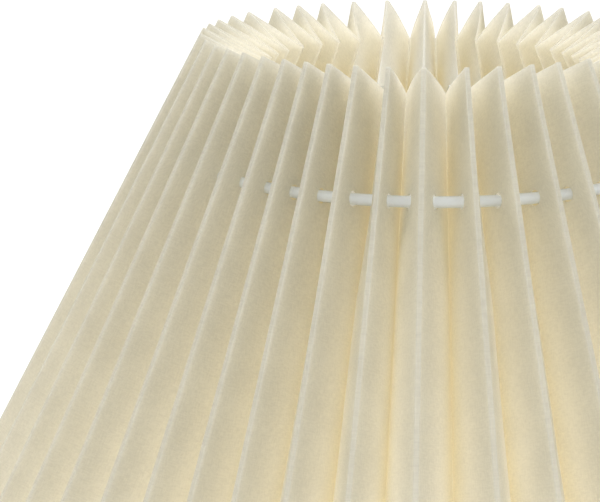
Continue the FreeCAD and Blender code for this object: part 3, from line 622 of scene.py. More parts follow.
def lap_columns(leaf):
    """Columns of the lap under the next strip's first leaf, from its end back to the inner fold."""
    sizes = leaf.sizes
    under = sizes.paper + sizes.glue
    joint = sizes.joint_rise + sizes.joint_dip
    shares = [((joint + sizes.joint_lap) / leaf.width, under), (joint / leaf.width, under)]
    shares += [(sizes.joint_rise / leaf.width, 0), (1 - COLUMNS_INNER[-1], 0)]
    return [(1 - share, None, sunk) for share, sunk in shares]


def leaf_points(leaf, columns, hole):
    """Rows of (point, across, along, in the hole) for one leaf."""
    hole_across, hole_along = hole
    step_across = leaf.sizes.hole_radius / leaf.width
    step_along = leaf.sizes.hole_radius / leaf.length
    rows = [(share, None) for share in ROWS_ABOVE]
    rows += [(ROW_AT_HOLE, line) for line in HOLE_LINES]
    rows += [(share, None) for share in ROWS_BELOW]
    grid = []
    for row_share, row_line in rows:
        made_row = []
        for column_share, column_line, sunk in columns:
            across, along, lift, inside = column_share, row_share, -sunk, False
            if row_line is not None:
                blend = math.sin(math.pi * held(column_share)) ** 0.5
                along = ROW_AT_HOLE + row_line * step_along + (hole_along - ROW_AT_HOLE) * blend
                if column_line is not None:
                    reach = max(abs(row_line), abs(column_line))
                    inside = reach < 1
                    along = hole_along + row_line * step_along
                    if 0 < reach <= 1:
                        shrink = reach / math.hypot(row_line, column_line)
                        across = hole_across + column_line * shrink * step_across
                        along = hole_along + row_line * shrink * step_along
                        lift = leaf.sizes.pucker
            point = leaf.at(across, along) + leaf.outward(across, along) * lift
            made_row.append((point, across, along, inside))
        grid.append(made_row)
    return grid


def leaf_at(sizes, ridge, side):
    """The leaf before or after a ridge."""
    pleats = len(RIDGE_GAPS)
    angle = ridge_angles()[ridge % pleats]
    before = (ridge if side > 0 else ridge - 1) % pleats
    half = math.radians(RIDGE_GAPS[before]) / 2
    offset = math.radians(FOLD_OFFSETS.get(before, 0))
    index = (2 * ridge + (side > 0)) % (2 * pleats)
    return Leaf(sizes, index, angle, angle + side * half, half, offset)


def placed_row(leaf, ridge, side, row, starts, laps):
    """One row of a leaf from ridge to fold, with the ridge's crown and the fold's crease at its ends."""
    down = row[0][2] * leaf.length / leaf.sizes.leaf
    placed = [(point, 2 * ridge + side * across, down, inside) for point, across, _, inside in row]
    back = leaf.ridge[0].lerp(leaf.ridge[1], row[0][2])
    if not laps:
        crown = leaf.ridge_corner[0].lerp(leaf.ridge_corner[1], row[0][2])
        placed.insert(0, (back.lerp(crown, CROWN_FLAT), 2 * ridge + side * CROWN_LINE, down, False))
    if not starts:
        bottom = leaf.fold[0].lerp(leaf.fold[1], row[-1][2])
        crease = leaf.fold_corner[0].lerp(leaf.fold_corner[1], row[-1][2])
        placed.append((bottom.lerp(crease, 0.5), 2 * ridge + side * CREASE_LINE, down, False))
    if side < 0:
        placed.reverse()
    else:
        placed.insert(0, (back, 2 * ridge, down, False))
    return placed


def strip_rows(sizes, first, last, ring_radius, ring_height):
    """A strip as rows of (point, across in leaves, along in leaves, in the hole), from end to end."""
    rows = [[] for _ in range(len(ROWS_ABOVE) + len(HOLE_LINES) + len(ROWS_BELOW))]
    for ridge in range(first, last + 2):
        for side in (-1, 1) if ridge <= last else (-1,):
            leaf = leaf_at(sizes, ridge, side)
            hole = leaf.hole(ring_radius, ring_height)
            starts = ridge == first and side < 0
            laps = ridge > last
            columns = lap_columns(leaf) if laps else leaf_columns(leaf, hole[0])
            if starts:
                joint = 1 - (sizes.joint_rise + sizes.joint_dip) / leaf.width
                columns = [column for column in columns if column[0] < joint] + [(joint, None, 0)]
            for row, points in zip(rows, leaf_points(leaf, columns, hole)):
                row.extend(placed_row(leaf, ridge, side, points, starts, laps))
    return rows


def make_strip(name, sizes, ridges, ring_radius, ring_height):
    """One strip's sheet with its holes and a UV map in leaves."""
    rows = strip_rows(sizes, *ridges, ring_radius, ring_height)
    grid = {"x_subdivisions": len(rows[0]) - 1, "y_subdivisions": len(rows) - 1}
    piece = made(bpy.ops.mesh.primitive_grid_add, name, size=1, **grid)
    mesh = piece.data
    places = [corner for row in rows for corner in row]
    for vertex, corner in zip(mesh.vertices, places):
        vertex.co = corner[0]
    layer = mesh.uv_layers.active or mesh.uv_layers.new(name="strip")
    layer.name = "strip"
    for loop in mesh.loops:
        layer.data[loop.index].uv = places[loop.vertex_index][1:3]
    with editing_some(piece, "VERT", mesh.vertices, lambda vertex: places[vertex.index][3]):
        bpy.ops.mesh.delete(type="VERT")
    return piece


class LAMP_OT_shade(bpy.types.Operator):
    """Folds the pleated strips and threads their leaves on the ring"""

    bl_idname = "lamp.shade"
    bl_label = "Pleated shade"

    def execute(self, context):
        sizes = context.scene.lamp_shade
        ring_radius = RING_HIGH.x - context.scene.lamp_ring.wire / 2
        ring_height = (RING_LOW.z + RING_HIGH.z) / 2
        for (name, ridges), node in zip(STRIPS.items(), SHADE_NODES):
            piece = make_strip(name, sizes, ridges, ring_radius, ring_height)
            cleaned(piece, SAME_CORNER)
            apply_modifier(piece, "SOLIDIFY", thickness=sizes.paper, offset=0)
            finished(piece, "shade", "shade_paper", [node], degrees=32)
        return {"FINISHED"}


# The wires.


def joint_angle():
    """The inner fold behind the back ridge, where the wires are closed, from the front toward the right."""
    back = len(RIDGE_GAPS) // 2
    return ridge_angles()[back] + math.radians(RIDGE_GAPS[back]) / 2


def tangent_at(angle, radius, height):
    """Turns an upright piece so that it lies along a ring at an angle from the front."""
    place = Matrix.Translation(polar(radius, angle, height))
    return place @ Matrix.Rotation(angle, 4, "Z") @ ALONG_X


def wire_ring(name, box, wire, gap, sizes):
    """A ring bent from wire inside a box, with its two ends butted at the joint, and its middle line."""
    radius = box[1].x - wire / 2
    height = (box[0].z + box[1].z) / 2
    section = {"vertices": sizes.wire_sides, "radius": wire / 2, "fill_type": "NGON"}
    piece = made(bpy.ops.mesh.primitive_circle_add, name, **section)
    moved(piece, Matrix.Translation((radius, 0, height)) @ Matrix.Rotation(math.pi / 2, 4, "X"))
    turn = ROUND - gap / radius
    path = {"steps": sizes.ring_steps, "angle": turn, "center": (0, 0, height), "axis": (0, 0, 1)}
    with editing(piece):
        bpy.ops.mesh.spin(dupli=False, **path)
    moved(piece, Matrix.Rotation(joint_angle() - math.pi / 2 + gap / radius / 2, 4, "Z"))
    cleaned(piece)
    return piece, radius, height


class LAMP_OT_ring(bpy.types.Operator):
    """Bends the threaded ring and closes it with its crimped ferrule"""

    bl_idname = "lamp.ring"
    bl_label = "Threaded ring"

    def execute(self, context):
        sizes = context.scene.lamp_ring
        box = (RING_LOW, RING_HIGH)
        ring, radius, height = wire_ring("threaded_ring", box, sizes.wire, sizes.butt_gap, sizes)
        finished(ring, "shade", "white_wire", ["upper_ring"])
        inside = sizes.wire / 2
        outside = inside + sizes.ferrule_wall
        half = sizes.ferrule_length / 2
        upper = []
        for crimp in (-half / 2, half / 2):
            upper += bowed((outside, crimp - half / 5), (outside, crimp + half / 5), sizes.crimp, 6)
        outline = [(inside, -half), (outside, -half), *upper, (outside, half), (inside, half)]
        ferrule = lathe("crimped_ferrule", outline, sides=sizes.wire_sides * 2)
        moved(ferrule, tangent_at(joint_angle(), radius, height))
        finished(ferrule, "shade", "white_wire", ["ring_ferrule"])
        return {"FINISHED"}


class LAMP_OT_hoop(bpy.types.Operator):
    """Bends the hoop that the inner folds lean on above the hem"""

    bl_idname = "lamp.hoop"
    bl_label = "Hem hoop"

    def execute(self, context):
        sizes = context.scene.lamp_ring
        box = (HOOP_LOW, HOOP_HIGH)
        hoop, radius, height = wire_ring("hem_hoop", box, sizes.hoop_wire, 0, sizes)
        wire = sizes.hoop_wire / 2
        half = sizes.weld_length / 2
        outline = [(wire / 2, -half), *bowed((wire, -half), (wire, half), -sizes.weld), (wire / 2, half)]
        bead = lathe("hoop_weld", outline)
        moved(bead, tangent_at(joint_angle(), radius, height))
        finished(joined([hoop, bead]), "shade", "white_wire", ["lower_hoop"])
        return {"FINISHED"}


# The foot and the column.


class LAMP_OT_foot(bpy.types.Operator):
    """Turns the foot, hollows it and lines its inlet, with the felt below"""

    bl_idname = "lamp.foot"
    bl_label = "Foot"

    def execute(self, context):
        sizes = context.scene.lamp_stand
        low, high, radius = FOOT_LOW.z, FOOT_HIGH.z, FOOT_HIGH.x
        recess = sizes.recess_radius
        ceiling = low + sizes.recess_depth
        outline = [(sizes.bore, ceiling), (recess, ceiling), (recess, low), (radius, low)]
        outline += bowed((radius, low + sizes.foot_edge), (COLUMN_HIGH.x, high), -sizes.foot_dome, 24)
        outline.append((sizes.bore, high))
        foot = lathe("turned_foot", outline, sizes.foot_easing, sides=160)
        wall = radius - recess
        inlet = Matrix.Translation((0, radius - wall / 2, sizes.inlet_height)) @ ALONG_Y
        drilled(foot, inlet, sizes.bush_body, 2 * wall)
        grain = finish_of("oiled_wood_flat", lambda name: make_wood(name, "x"))
        finished(foot, "stand", "pale_wood", ["foot"], grain)

        felt = lathe("felt_disc", washer(0, *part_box("felt_pad")), sizes.felt_easing)
        finished(felt, "stand", "felt", ["felt_pad"])

        low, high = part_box("cable_bush")
        length_in = radius - low.y
        length_out = high.y - radius
        rounding = length_out / 3
        shoulder = (sizes.inlet_bore + rounding, length_out)
        outline = [
            (sizes.inlet_bore, -length_in),
            (sizes.bush_body, -length_in),
            (sizes.bush_body, 0),
            (sizes.bush_flange, 0),
            *bowed((sizes.bush_flange, rounding), shoulder, -length_out / 5),
            (sizes.inlet_bore, length_out - rounding),
        ]
        bush = lathe("inlet_bush", outline, sides=64)
        moved(bush, Matrix.Translation((0, radius, sizes.inlet_height)) @ ALONG_Y)
        finished(bush, "stand", "bush_plastic", ["cable_bush"])
        return {"FINISHED"}


class LAMP_OT_column(bpy.types.Operator):
    """Turns the column and sets the collar and the lock nut on it"""

    bl_idname = "lamp.column"
    bl_label = "Column"

    def execute(self, context):
        sizes = context.scene.lamp_stand
        low, high, base = COLUMN_LOW.z, COLUMN_HIGH.z, COLUMN_HIGH.x
        flare = low + sizes.column_edge
        shoulder = high - sizes.head_edge
        throat = shoulder - sizes.head_height
        outline = [(sizes.bore, low), (base, low)]
        outline += bowed((base, flare), (sizes.waist, flare + sizes.flare_height), sizes.flare_bow, 24)
        outline += bowed((sizes.neck, throat), (sizes.head, shoulder), sizes.head_bow, 16)
        outline += [(sizes.head, high), (sizes.bore, high)]
        column = lathe("turned_column", outline, sizes.turning_easing, sides=128)
        finished(column, "stand", "pale_wood", ["column"])

        low, high, radius = COLLAR_LOW.z, COLLAR_HIGH.z, COLLAR_HIGH.x
        rounding = sizes.collar_rounding
        sagitta = rounding * (1 - math.sqrt(0.5))
        outline = [(sizes.bore, low), (radius, low)]
        outline += bowed((radius, high - rounding), (radius - rounding, high), -sagitta)
        outline.append((sizes.bore, high))
        finished(lathe("brass_collar", outline), "stand", "brass", ["neck_collar"])

        low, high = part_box("lock_nut")
        height = high.z - low.z
        size = {"vertices": 6, "radius": high.x, "depth": height, "location": (0, 0, (low.z + high.z) / 2)}
        nut = made(bpy.ops.mesh.primitive_cylinder_add, "hexagon_nut", **size)
        place_applied(nut)
        drilled(nut, Matrix.Translation((0, 0, low.z)), sizes.bore, 4 * height)
        eased(nut, sizes.turning_easing / 2)
        finished(nut, "stand", "brass", ["lock_nut"])
        return {"FINISHED"}


# The lampholder, the carrier and the bulb.


def make_shade_nut(name, node, sizes):
    """A ring with grip grooves that clamps the carrier."""
    low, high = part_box(node)
    outline = washer(sizes.nut_bore, low, high)
    piece = lathe(name, outline, sizes.nut_easing, sides=2 * sizes.grip_count)

    def in_groove(face):
        centre = face.center
        step = math.atan2(centre.y, centre.x) / (ROUND / (2 * sizes.grip_count))
        outside = math.hypot(centre.x, centre.y) > high.x - sizes.nut_easing / 4
        return outside and abs(face.normal.z) < 0.1 and math.floor(step) % 2 == 0

    with editing_some(piece, "FACE", piece.data.polygons, in_groove):
        bpy.ops.mesh.inset(thickness=sizes.grip_depth / 2)
        bpy.ops.mesh.extrude_region_shrink_fatten(TRANSFORM_OT_shrink_fatten={"value": -sizes.grip_depth})
    return piece


class LAMP_OT_holder(bpy.types.Operator):
    """Moulds the lampholder's two shells, its push bar and the two shade nuts"""

    bl_idname = "lamp.holder"
    bl_label = "Lampholder"

    def execute(self, context):
        sizes = context.scene.lamp_holder
        bore = context.scene.lamp_stand.bore
        radius = CAP_HIGH.x
        low, high = CAP_LOW.z, CAP_HIGH.z
        inside = radius - sizes.wall
        boss = low + sizes.boss_height
        outline = [(bore, low)]
        outline += bowed((sizes.cap_neck, low), (radius, low + sizes.cap_shoulder), -sizes.cap_bow)
        outline += [(radius, high), (inside, high), (inside, boss), (bore, boss)]
        cap = lathe("holder_cap_shell", outline, sizes.easing)
        bar_low, bar_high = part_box("switch_bar")
        through = Matrix.Translation((0, 0, (bar_low.z + bar_high.z) / 2)) @ ALONG_X
        drilled(cap, through, sizes.bar_hole, 4 * radius)
        finished(cap, "stand", "holder_plastic", ["holder_cap"])

        low, high = SKIRT_LOW.z, SKIRT_HIGH.z
        depth, pitch = sizes.thread_depth, sizes.thread_pitch
        root = radius - depth
        disc = low + sizes.disc_overlap
        turns = int((high - low) / pitch) - 2
        start = low + pitch
        stop = start + (turns + 1) * pitch
        outline = [(inside, low), (radius, low), (radius, start), (root, start + pitch / 2)]
        outline += [(root, stop - pitch / 2), (root, high), (sizes.mouth, high)]
        outline += [(sizes.mouth, disc), (inside, disc)]
        skirt = lathe("holder_skirt_shell", outline, sizes.easing / 2)
        skirt = joined([skirt, thread("skirt_thread", radius, depth, pitch, start, turns)])
        finished(skirt, "stand", "holder_plastic", ["holder_skirt"])

        left, right = bar_low.x, bar_high.x
        dome, rise = sizes.button_dome, -sizes.button_dome / 3
        outline = [
            *reversed(bowed((sizes.button, left + dome), (0, left), rise, 6)),
            (sizes.button, left + sizes.button_length),
            (sizes.bar, left + sizes.button_length),
            (sizes.bar, right - sizes.button_length),
            (sizes.button, right - sizes.button_length),
            *bowed((sizes.button, right - dome), (0, right), rise, 6),
        ]
        bar = lathe("push_bar", outline, sides=64)
        moved(bar, through)
        finished(bar, "switch", "holder_plastic", ["switch_bar"])

        for name, node in (("lower_clamp_ring", "lower_shade_nut"), ("upper_clamp_ring", "upper_shade_nut")):
            nut = make_shade_nut(name, node, sizes)
            finished(nut, "stand", "holder_plastic", [node], degrees=25)
        return {"FINISHED"}


def merged_copy(node, name):
    """A copy of a solid's mesh with its loose triangles merged."""
    piece = bpy.data.objects.new(name, frame["nodes"][node].data.copy())
    bpy.context.scene.collection.objects.link(piece)
    with editing(piece):
        bpy.ops.mesh.remove_doubles(threshold=SAME_POINT)
        bpy.ops.mesh.dissolve_limited(angle_limit=math.radians(1))
    return piece


class LAMP_OT_carrier(bpy.types.Operator):
    """Makes the carrier's hub and its four flat arms, welded at their feet"""

    bl_idname = "lamp.carrier"
    bl_label = "Carrier"

    def execute(self, context):
        sizes = context.scene.lamp_holder
        low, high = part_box("carrier_hub")
        hub = lathe("hub_plate", washer(sizes.hub_bore, low, high), sizes.arm_easing)
        finished(hub, "carrier", "white_wire", ["carrier_hub"])
        arms = [node for node in frame["nodes"] if node.startswith("carrier_arm_")]
        for node in arms:
            arm = merged_copy(node, node.replace("carrier_arm", "flat_arm"))
            eased(arm, sizes.arm_easing)
            arm_low, arm_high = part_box(node)
            middle = (arm_low + arm_high) / 2
            thickness = min(arm_high.x - arm_low.x, arm_high.y - arm_low.y)
            along = Vector((middle.x, middle.y, 0)).normalized()
            sideways = Vector((-along.y, along.x, 0))
            half = sizes.weld_length / 2
            turn = Matrix.Rotation(math.atan2(along.y, along.x), 4, "Z") @ ALONG_X
            beads = [arm]
            for side in (-1, 1):
                bead = lathe("weld", bowed((0, -half), (0, half), -sizes.weld_radius, 8), sides=12)
                start = along * (high.x - sizes.weld_length) + Vector((0, 0, high.z))
                place = start + sideways * side * thickness / 2
                moved(bead, Matrix.Translation(place) @ turn)
                beads.append(bead)
            finished(joined(beads), "carrier", "white_wire", [node])
        return {"FINISHED"}


class LAMP_OT_bulb(bpy.types.Operator):
    """Blows the bulb's opal glass"""

    bl_idname = "lamp.bulb"
    bl_label = "Bulb"

    def execute(self, context):
        sizes = context.scene.lamp_holder
        low, crown, radius = GLASS_LOW.z, GLASS_HIGH.z, GLASS_HIGH.x
        centre = crown - radius
        steps = 32
        walls = []
        for inset in (0, sizes.glass_wall):
            ball = radius - inset
            neck = (sizes.glass_neck - inset, low + sizes.glass_neck_height)
            shoulder = (math.sqrt(ball**2 - sizes.glass_shoulder**2), centre - sizes.glass_shoulder)
            start = math.asin(-sizes.glass_shoulder / ball)
            arc = []
            for step in range(1, steps):
                lift = start + (math.pi / 2 - start) * step / steps
                arc.append((ball * math.cos(lift), centre + ball * math.sin(lift)))
            top = (0, centre + ball)
            walls.append([(neck[0], low), *bowed(neck, shoulder, sizes.glass_bow), *arc, top])
        outer, inner = walls
        glass = lathe("bulb_envelope", [*outer, *reversed(inner)])
        finished(glass, "stand", "opal_glass", ["bulb_glass"], degrees=60)
        return {"FINISHED"}


# Finishes.


class Nodes:
    """A node tree and the nodes that are put into it."""

    def __init__(self, tree):
        self.tree = tree

    def own(self, kind):
        """The node of a kind that the tree came with."""
        return next(node for node in self.tree.nodes if node.type == kind)

    def feed(self, socket, value):
        """Gives a socket a value or another node's output."""
        if isinstance(value, bpy.types.NodeSocket):
            self.tree.links.new(value, socket)
        else:
            socket.default_value = value

    def add(self, kind, inputs=(), **settings):
        """A new node with its settings and its inputs."""
        node = self.tree.nodes.new(kind)
        for name, value in settings.items():
            setattr(node, name, value)
        for key, value in dict(inputs).items():
            self.feed(node.inputs[key], value)
        return node

    def maths(self, operation, first, second):
        """One sum on two values."""
        return self.add("ShaderNodeMath", {0: first, 1: second}, operation=operation).outputs[0]

    def mixed(self, share, first, second):
        """One shader that turns into another by a share."""
        return self.add("ShaderNodeMixShader", {0: share, 1: first, 2: second}).outputs[0]

    def seen(self):
        """1 where the camera looks straight, in a mirror or through glass, and 0 for all other light."""
        path = self.add("ShaderNodeLightPath")
        direct = self.maths("MAXIMUM", path.outputs["Is Camera Ray"], path.outputs["Is Glossy Ray"])
        return self.maths("MAXIMUM", direct, path.outputs["Is Transmission Ray"])


class Finish(Nodes):
    """The node tree of one material."""

    library = {}

    def __init__(self, name):
        self.material = bpy.data.materials.new(name)
        self.material.use_nodes = True
        super().__init__(self.material.node_tree)
        self.shader = self.own("BSDF_PRINCIPLED")
        self.output = self.own("OUTPUT_MATERIAL")
        Finish.library[name] = self.material

    def set(self, **values):
        """Sets sockets of the main shader by name, with _ for a space."""
        for name, value in values.items():
            self.feed(self.shader.inputs[name.replace("_", " ")], value)

    def stretched(self, vector, scale):
        """Coordinates stretched for a pattern."""
        return self.add("ShaderNodeMapping", {"Vector": vector, "Scale": scale}).outputs[0]

    def point(self, scale=(1, 1, 1)):
        """A piece's own coordinates, stretched for a pattern."""
        return self.stretched(self.add("ShaderNodeTexCoord").outputs["Object"], scale)

    def noise(self, vector, scale, detail, roughness=0.5, distortion=0.0):
        """Clouds from 0 to 1."""
        inputs = {"Vector": vector, "Scale": scale, "Detail": detail}
        inputs.update({"Roughness": roughness, "Distortion": distortion})
        return self.add("ShaderNodeTexNoise", inputs).outputs[0]

    def weighed(self, share, first, second):
        """The sum of two values, the first by a share and the second by the rest."""
        part = self.maths("MULTIPLY", first, share)
        return self.maths("ADD", part, self.maths("MULTIPLY", second, 1 - share))

    def blend(self, share, first, second, mode="MIX"):
        """A colour that turns into another by a share."""
        node = self.add("ShaderNodeMix", data_type="RGBA", blend_type=mode)
        self.feed(node.inputs[0], share)
        for socket, value in ((node.inputs[6], first), (node.inputs[7], second)):
            self.feed(socket, value if isinstance(value, bpy.types.NodeSocket) else (*value, 1.0))
        return node.outputs[2]

    def between(self, value, low, high, to_low=0.0, to_high=1.0):
        """A value moved from one range to another, held inside it, with soft ends."""
        inputs = {"Value": value, "From Min": low, "From Max": high, "To Min": to_low, "To Max": to_high}
        return self.add("ShaderNodeMapRange", inputs, interpolation_type="SMOOTHSTEP").outputs[0]

    def bump(self, height, distance, strength=1.0):
        """Fine relief on the main shader."""
        inputs = {"Height": height, "Distance": distance, "Strength": strength}
        normal = self.add("ShaderNodeBump", inputs).outputs[0]
        self.set(Normal=normal)
        return normal

    def closed(self, result):
        """The material, with its last node fed."""
        self.feed(self.output.inputs[0], result)
        return self.material


def finish_of(name, make):
    """A material by name, made when it is first asked for."""
    return Finish.library.get(name) or make(name)


def shaded(tint, share):
    """A colour made darker or lighter by a share, up to white."""
    return tuple(min(1.0, part * share) for part in tint)


def lamp_colours():
    """The colours that the user has set."""
    return bpy.context.scene.lamp_colours


# The range that most of a cloud pattern lies in.
CLOUDS = (0.3, 0.7)
# Where the paper's colours change, from and to, in leaf widths from the ridge or from the top edge: the
# painted shade beside the ridges and on their backs, the painted golden glow deep in the creases, the frayed
# threads and the cut edge.
RIDGE_SHADE_FADE = (0.08, 0.55)
CREASE_GLOW_ACROSS = (0.45, 0.95)
CREASE_GLOW_DOWN = (0.3, 1.2)
THREADS = (0.010, 0.020)
RIDGE_BACK_SHADE = (0.004, 0.009)
CUT_EDGE = (0.010, 0.028)
LETTING_THROUGH = (0.25, 0.70)
# Shares of the light that passes through the paper beside the ridges and in the depth of the pleats.
THROUGH_OUTER = 0.70
THROUGH_INNER = 0.86
# The weave's two ways and the fraying, in clouds per leaf width, and how far the fraying reaches.
WEFT = (13.0, 46.0, 1)
WARP = (46.0, 13.0, 1)
FRAYING = (60.0, 110.0, 1)
FRAY_REACH = 0.016
MOTTLE = (0.34, 0.66, 0.92, 1.03)


def make_paper(name):
    """Laminated paper with a fine weave and frayed threads, greyed by painted shade along and beside its
    ridges and golden with painted glow in its creases.
    """
    colours = lamp_colours()
    finish = Finish(name)
    strip = finish.add("ShaderNodeUVMap", uv_map="strip").outputs[0]
    parts = finish.add("ShaderNodeSeparateXYZ", {"Vector": strip})
    from_ridge = finish.maths("PINGPONG", parts.outputs[0], 1.0)
    from_top = parts.outputs[1]
    weft, warp, fray = [
        finish.noise(finish.stretched(strip, scale), 1.0, 2) for scale in (WEFT, WARP, FRAYING)
    ]
    weave = finish.weighed(0.5, weft, warp)
    mottle = finish.between(finish.weighed(0.7, weave, finish.noise(strip, 1.6, 3)), *MOTTLE)
    grey = finish.add("ShaderNodeCombineColor", {0: mottle, 1: mottle, 2: mottle}).outputs[0]
    uneven = finish.maths("MULTIPLY", finish.maths("SUBTRACT", fray, 0.5), FRAY_REACH)
    frayed = finish.maths("ADD", from_ridge, uneven)
    # Painted shade and light: the leaves grey toward the ridges and turn golden deep in the creases below
    # the top edge, for how light falls into the pleats.
    ridge_shade = finish.between(from_ridge, *RIDGE_SHADE_FADE)
    inward = finish.between(from_ridge, *CREASE_GLOW_ACROSS)
    # The painted glow's mask: deep in the leaf and below the top edge.
    depth = finish.maths("MULTIPLY", inward, finish.between(from_top, *CREASE_GLOW_DOWN))
    tone = finish.blend(ridge_shade, colours.paper_outer, colours.paper)
    tone = finish.blend(depth, tone, colours.paper_crease)
    tone = finish.blend(finish.between(frayed, *THREADS, 1.0, 0.0), tone, colours.paper_thread)
    # Painted shade along the ridges' backs.
    tone = finish.blend(finish.between(frayed, *RIDGE_BACK_SHADE, 1.0, 0.0), tone, colours.paper_ridge)
    tone = finish.blend(finish.between(from_top, *CUT_EDGE, 0.8, 0.0), tone, colours.paper_thread)
    tone = finish.blend(1.0, tone, grey, "MULTIPLY")
    finish.set(Base_Color=tone, Roughness=0.82, Specular_IOR_Level=0.25)
    normal = finish.bump(weave, 0.00010, 0.8)
    # The light let through carries the same painted shade beside the ridges and painted glow in the creases.
    passed = finish.blend(ridge_shade, colours.glow_outer, colours.glow)
    passed = finish.blend(depth, passed, colours.paper_crease)
    passed = finish.blend(1.0, passed, grey, "MULTIPLY")
    glow = finish.add("ShaderNodeBsdfTranslucent", {"Color": passed, "Normal": normal})
    share = finish.between(from_ridge, *LETTING_THROUGH, THROUGH_OUTER, THROUGH_INNER)
    outside = finish.mixed(share, finish.shader.outputs[0], glow.outputs[0])
    # Light inside the paper leaves by its other face without a second loss.
    leaving = finish.add("ShaderNodeBsdfTranslucent", {"Color": WHITE})
    inside = finish.add("ShaderNodeNewGeometry").outputs["Backfacing"]
    return finish.closed(finish.mixed(inside, outside, leaving.outputs[0]))


def make_wire(name):
    """White coating, glossy and a little uneven."""
    finish = Finish(name)
    tint = lamp_colours().wire
    cloud = finish.noise(finish.point(), 90.0, 3)
    worn = finish.noise(finish.point(), 900.0, 2)
    tone = finish.blend(finish.between(cloud, 0.35, 0.7), tint, shaded(tint, 0.94))
    finish.set(Base_Color=tone, Roughness=finish.between(cloud, *CLOUDS, 0.16, 0.30))
    finish.bump(worn, 0.00003, 0.4)
    return finish.material


def plain_finish(name, tint, roughness, grain_scale, grain_height, metal):
    """A moulded, cast or plated finish with fine grain, uneven gloss and slightly uneven colour."""
    finish = Finish(name)
    tint = getattr(lamp_colours(), tint)
    cloud = finish.noise(finish.point(), 45.0, 4)
    grain = finish.noise(finish.point(), grain_scale, 3)
    tone = finish.blend(finish.between(cloud, *CLOUDS), shaded(tint, 0.94), shaded(tint, 1.06))
    gloss = finish.between(grain, *CLOUDS, roughness * 0.85, min(1.0, roughness * 1.15))
    finish.set(Base_Color=tone, Roughness=gloss, Metallic=metal)
    finish.bump(grain, grain_height)
    return finish.material


def make_wood(name, along):
    """Oiled pale wood with its grain along one axis, pores and faint growth rings."""
    finish = Finish(name)
    colours = lamp_colours()
    stretch = tuple(4.0 if axis == along else 60.0 for axis in "xyz")
    fine = tuple(20.0 if axis == along else 900.0 for axis in "xyz")
    rings = finish.noise(finish.point(stretch), 1.0, 4, 0.55, 0.8)
    bands = finish.maths("PINGPONG", finish.maths("MULTIPLY", rings, 9.0), 1.0)
    grain = finish.noise(finish.point(fine), 1.0, 3, 0.6)
    late = finish.between(bands, 0.25, 0.95)
    pores = finish.between(grain, 0.60, 0.72)
    tone = finish.blend(finish.maths("MULTIPLY", late, 0.42), colours.wood, colours.wood_grain)
    tone = finish.blend(finish.maths("MULTIPLY", pores, 0.4), tone, shaded(colours.wood_grain, 0.5))
    finish.set(Base_Color=tone, Roughness=finish.between(grain, *CLOUDS, 0.38, 0.55), Coat_Weight=0.08)
    height = finish.maths("SUBTRACT", finish.maths("MULTIPLY", late, 0.25), pores)
    finish.bump(height, 0.00008, 0.7)
    return finish.material


# By slot: colour, roughness, grain's scale and height, metal.
PLAIN_FINISHES = {
    "felt": ("felt", 0.95, 1400.0, 0.0004, 0.0),
    "iron": ("iron", 0.55, 700.0, 0.00008, 0.2),
    "zinc_steel": ("steel", 0.30, 1500.0, 0.00002, 1.0),
    "brass": ("brass", 0.25, 1500.0, 0.00001, 1.0),
    "holder_plastic": ("plastic", 0.38, 1800.0, 0.00001, 0.0),
    "bush_plastic": ("bush", 0.45, 1800.0, 0.00002, 0.0),
    "insert_ceramic": ("ceramic", 0.55, 900.0, 0.00003, 0.0),
    "bulb_metal": ("bulb_metal", 0.28, 1500.0, 0.00001, 1.0),
    "bulb_glaze": ("bulb_black", 0.12, 500.0, 0.00001, 0.0),
    "opal_glass": ("opal", 0.12, 300.0, 0.000005, 0.0),
    "clear_glass": ("clear", 0.05, 300.0, 0.000005, 0.0),
    "lit_rods": ("rods", 0.7, 900.0, 0.00002, 0.0),
}
OTHER_FINISHES = {
    "shade_paper": ("laminated_paper", make_paper),
    "white_wire": ("coated_wire", make_wire),
    "pale_wood": ("oiled_wood_upright", lambda name: make_wood(name, "z")),
}


def slot_finish(slot):
    """The finish that a slot's pieces have, unless they bring their own."""
    if slot in OTHER_FINISHES:
        return finish_of(*OTHER_FINISHES[slot])
    return finish_of(f"{slot}_finish", lambda name: plain_finish(name, *PLAIN_FINISHES[slot]))


class LAMP_OT_finishes(bpy.types.Operator):
    """Gives every solid that stays in view its finish"""

    bl_idname = "lamp.finishes"
    bl_label = "Finishes"

    def execute(self, context):
        for part in SUBPARTS:
            dress(frame["nodes"][part["node"]], slot_finish(part["material_slot"]))
        return {"FINISHED"}


# The stage.


def make_floor(side):
    """A pale floor whose back edge sweeps up into a backdrop."""
    floor = made(bpy.ops.mesh.primitive_plane_add, "floor", size=side, location=(0, 0, 0))
    mesh = floor.data

    def at_back(edge):
        ends = [mesh.vertices[end].co for end in edge.vertices]
        return all(end.y > 0 and abs(end.z) < SAME_POINT for end in ends)

    with editing_some(floor, "EDGE", mesh.edges, at_back):
        bpy.ops.mesh.extrude_region_move(TRANSFORM_OT_translate={"value": (0, 0, side / 3)})
    with editing_some(floor, "EDGE", mesh.edges, at_back):
        bpy.ops.mesh.bevel(offset=side / 6, segments=16)
    smoothed(floor, 60)
    return floor


def make_floor_finish(name):
    """Pale floor that shows white to the camera where nothing shades it."""
    finish = Finish(name)
    tint = lamp_colours().floor
    cloud = finish.noise(finish.point(), 3.0, 2)
    base = finish.blend(cloud, tint, shaded(tint, 0.98))
    finish.set(Base_Color=base, Roughness=0.9, Specular_IOR_Level=0.0)
    strength = finish.maths("MULTIPLY", finish.seen(), 0.55)
    white = finish.add("ShaderNodeEmission", {"Color": WHITE, "Strength": strength})
    both = finish.add("ShaderNodeAddShader", {0: finish.shader.outputs[0], 1: white.outputs[0]})
    return finish.closed(both.outputs[0])


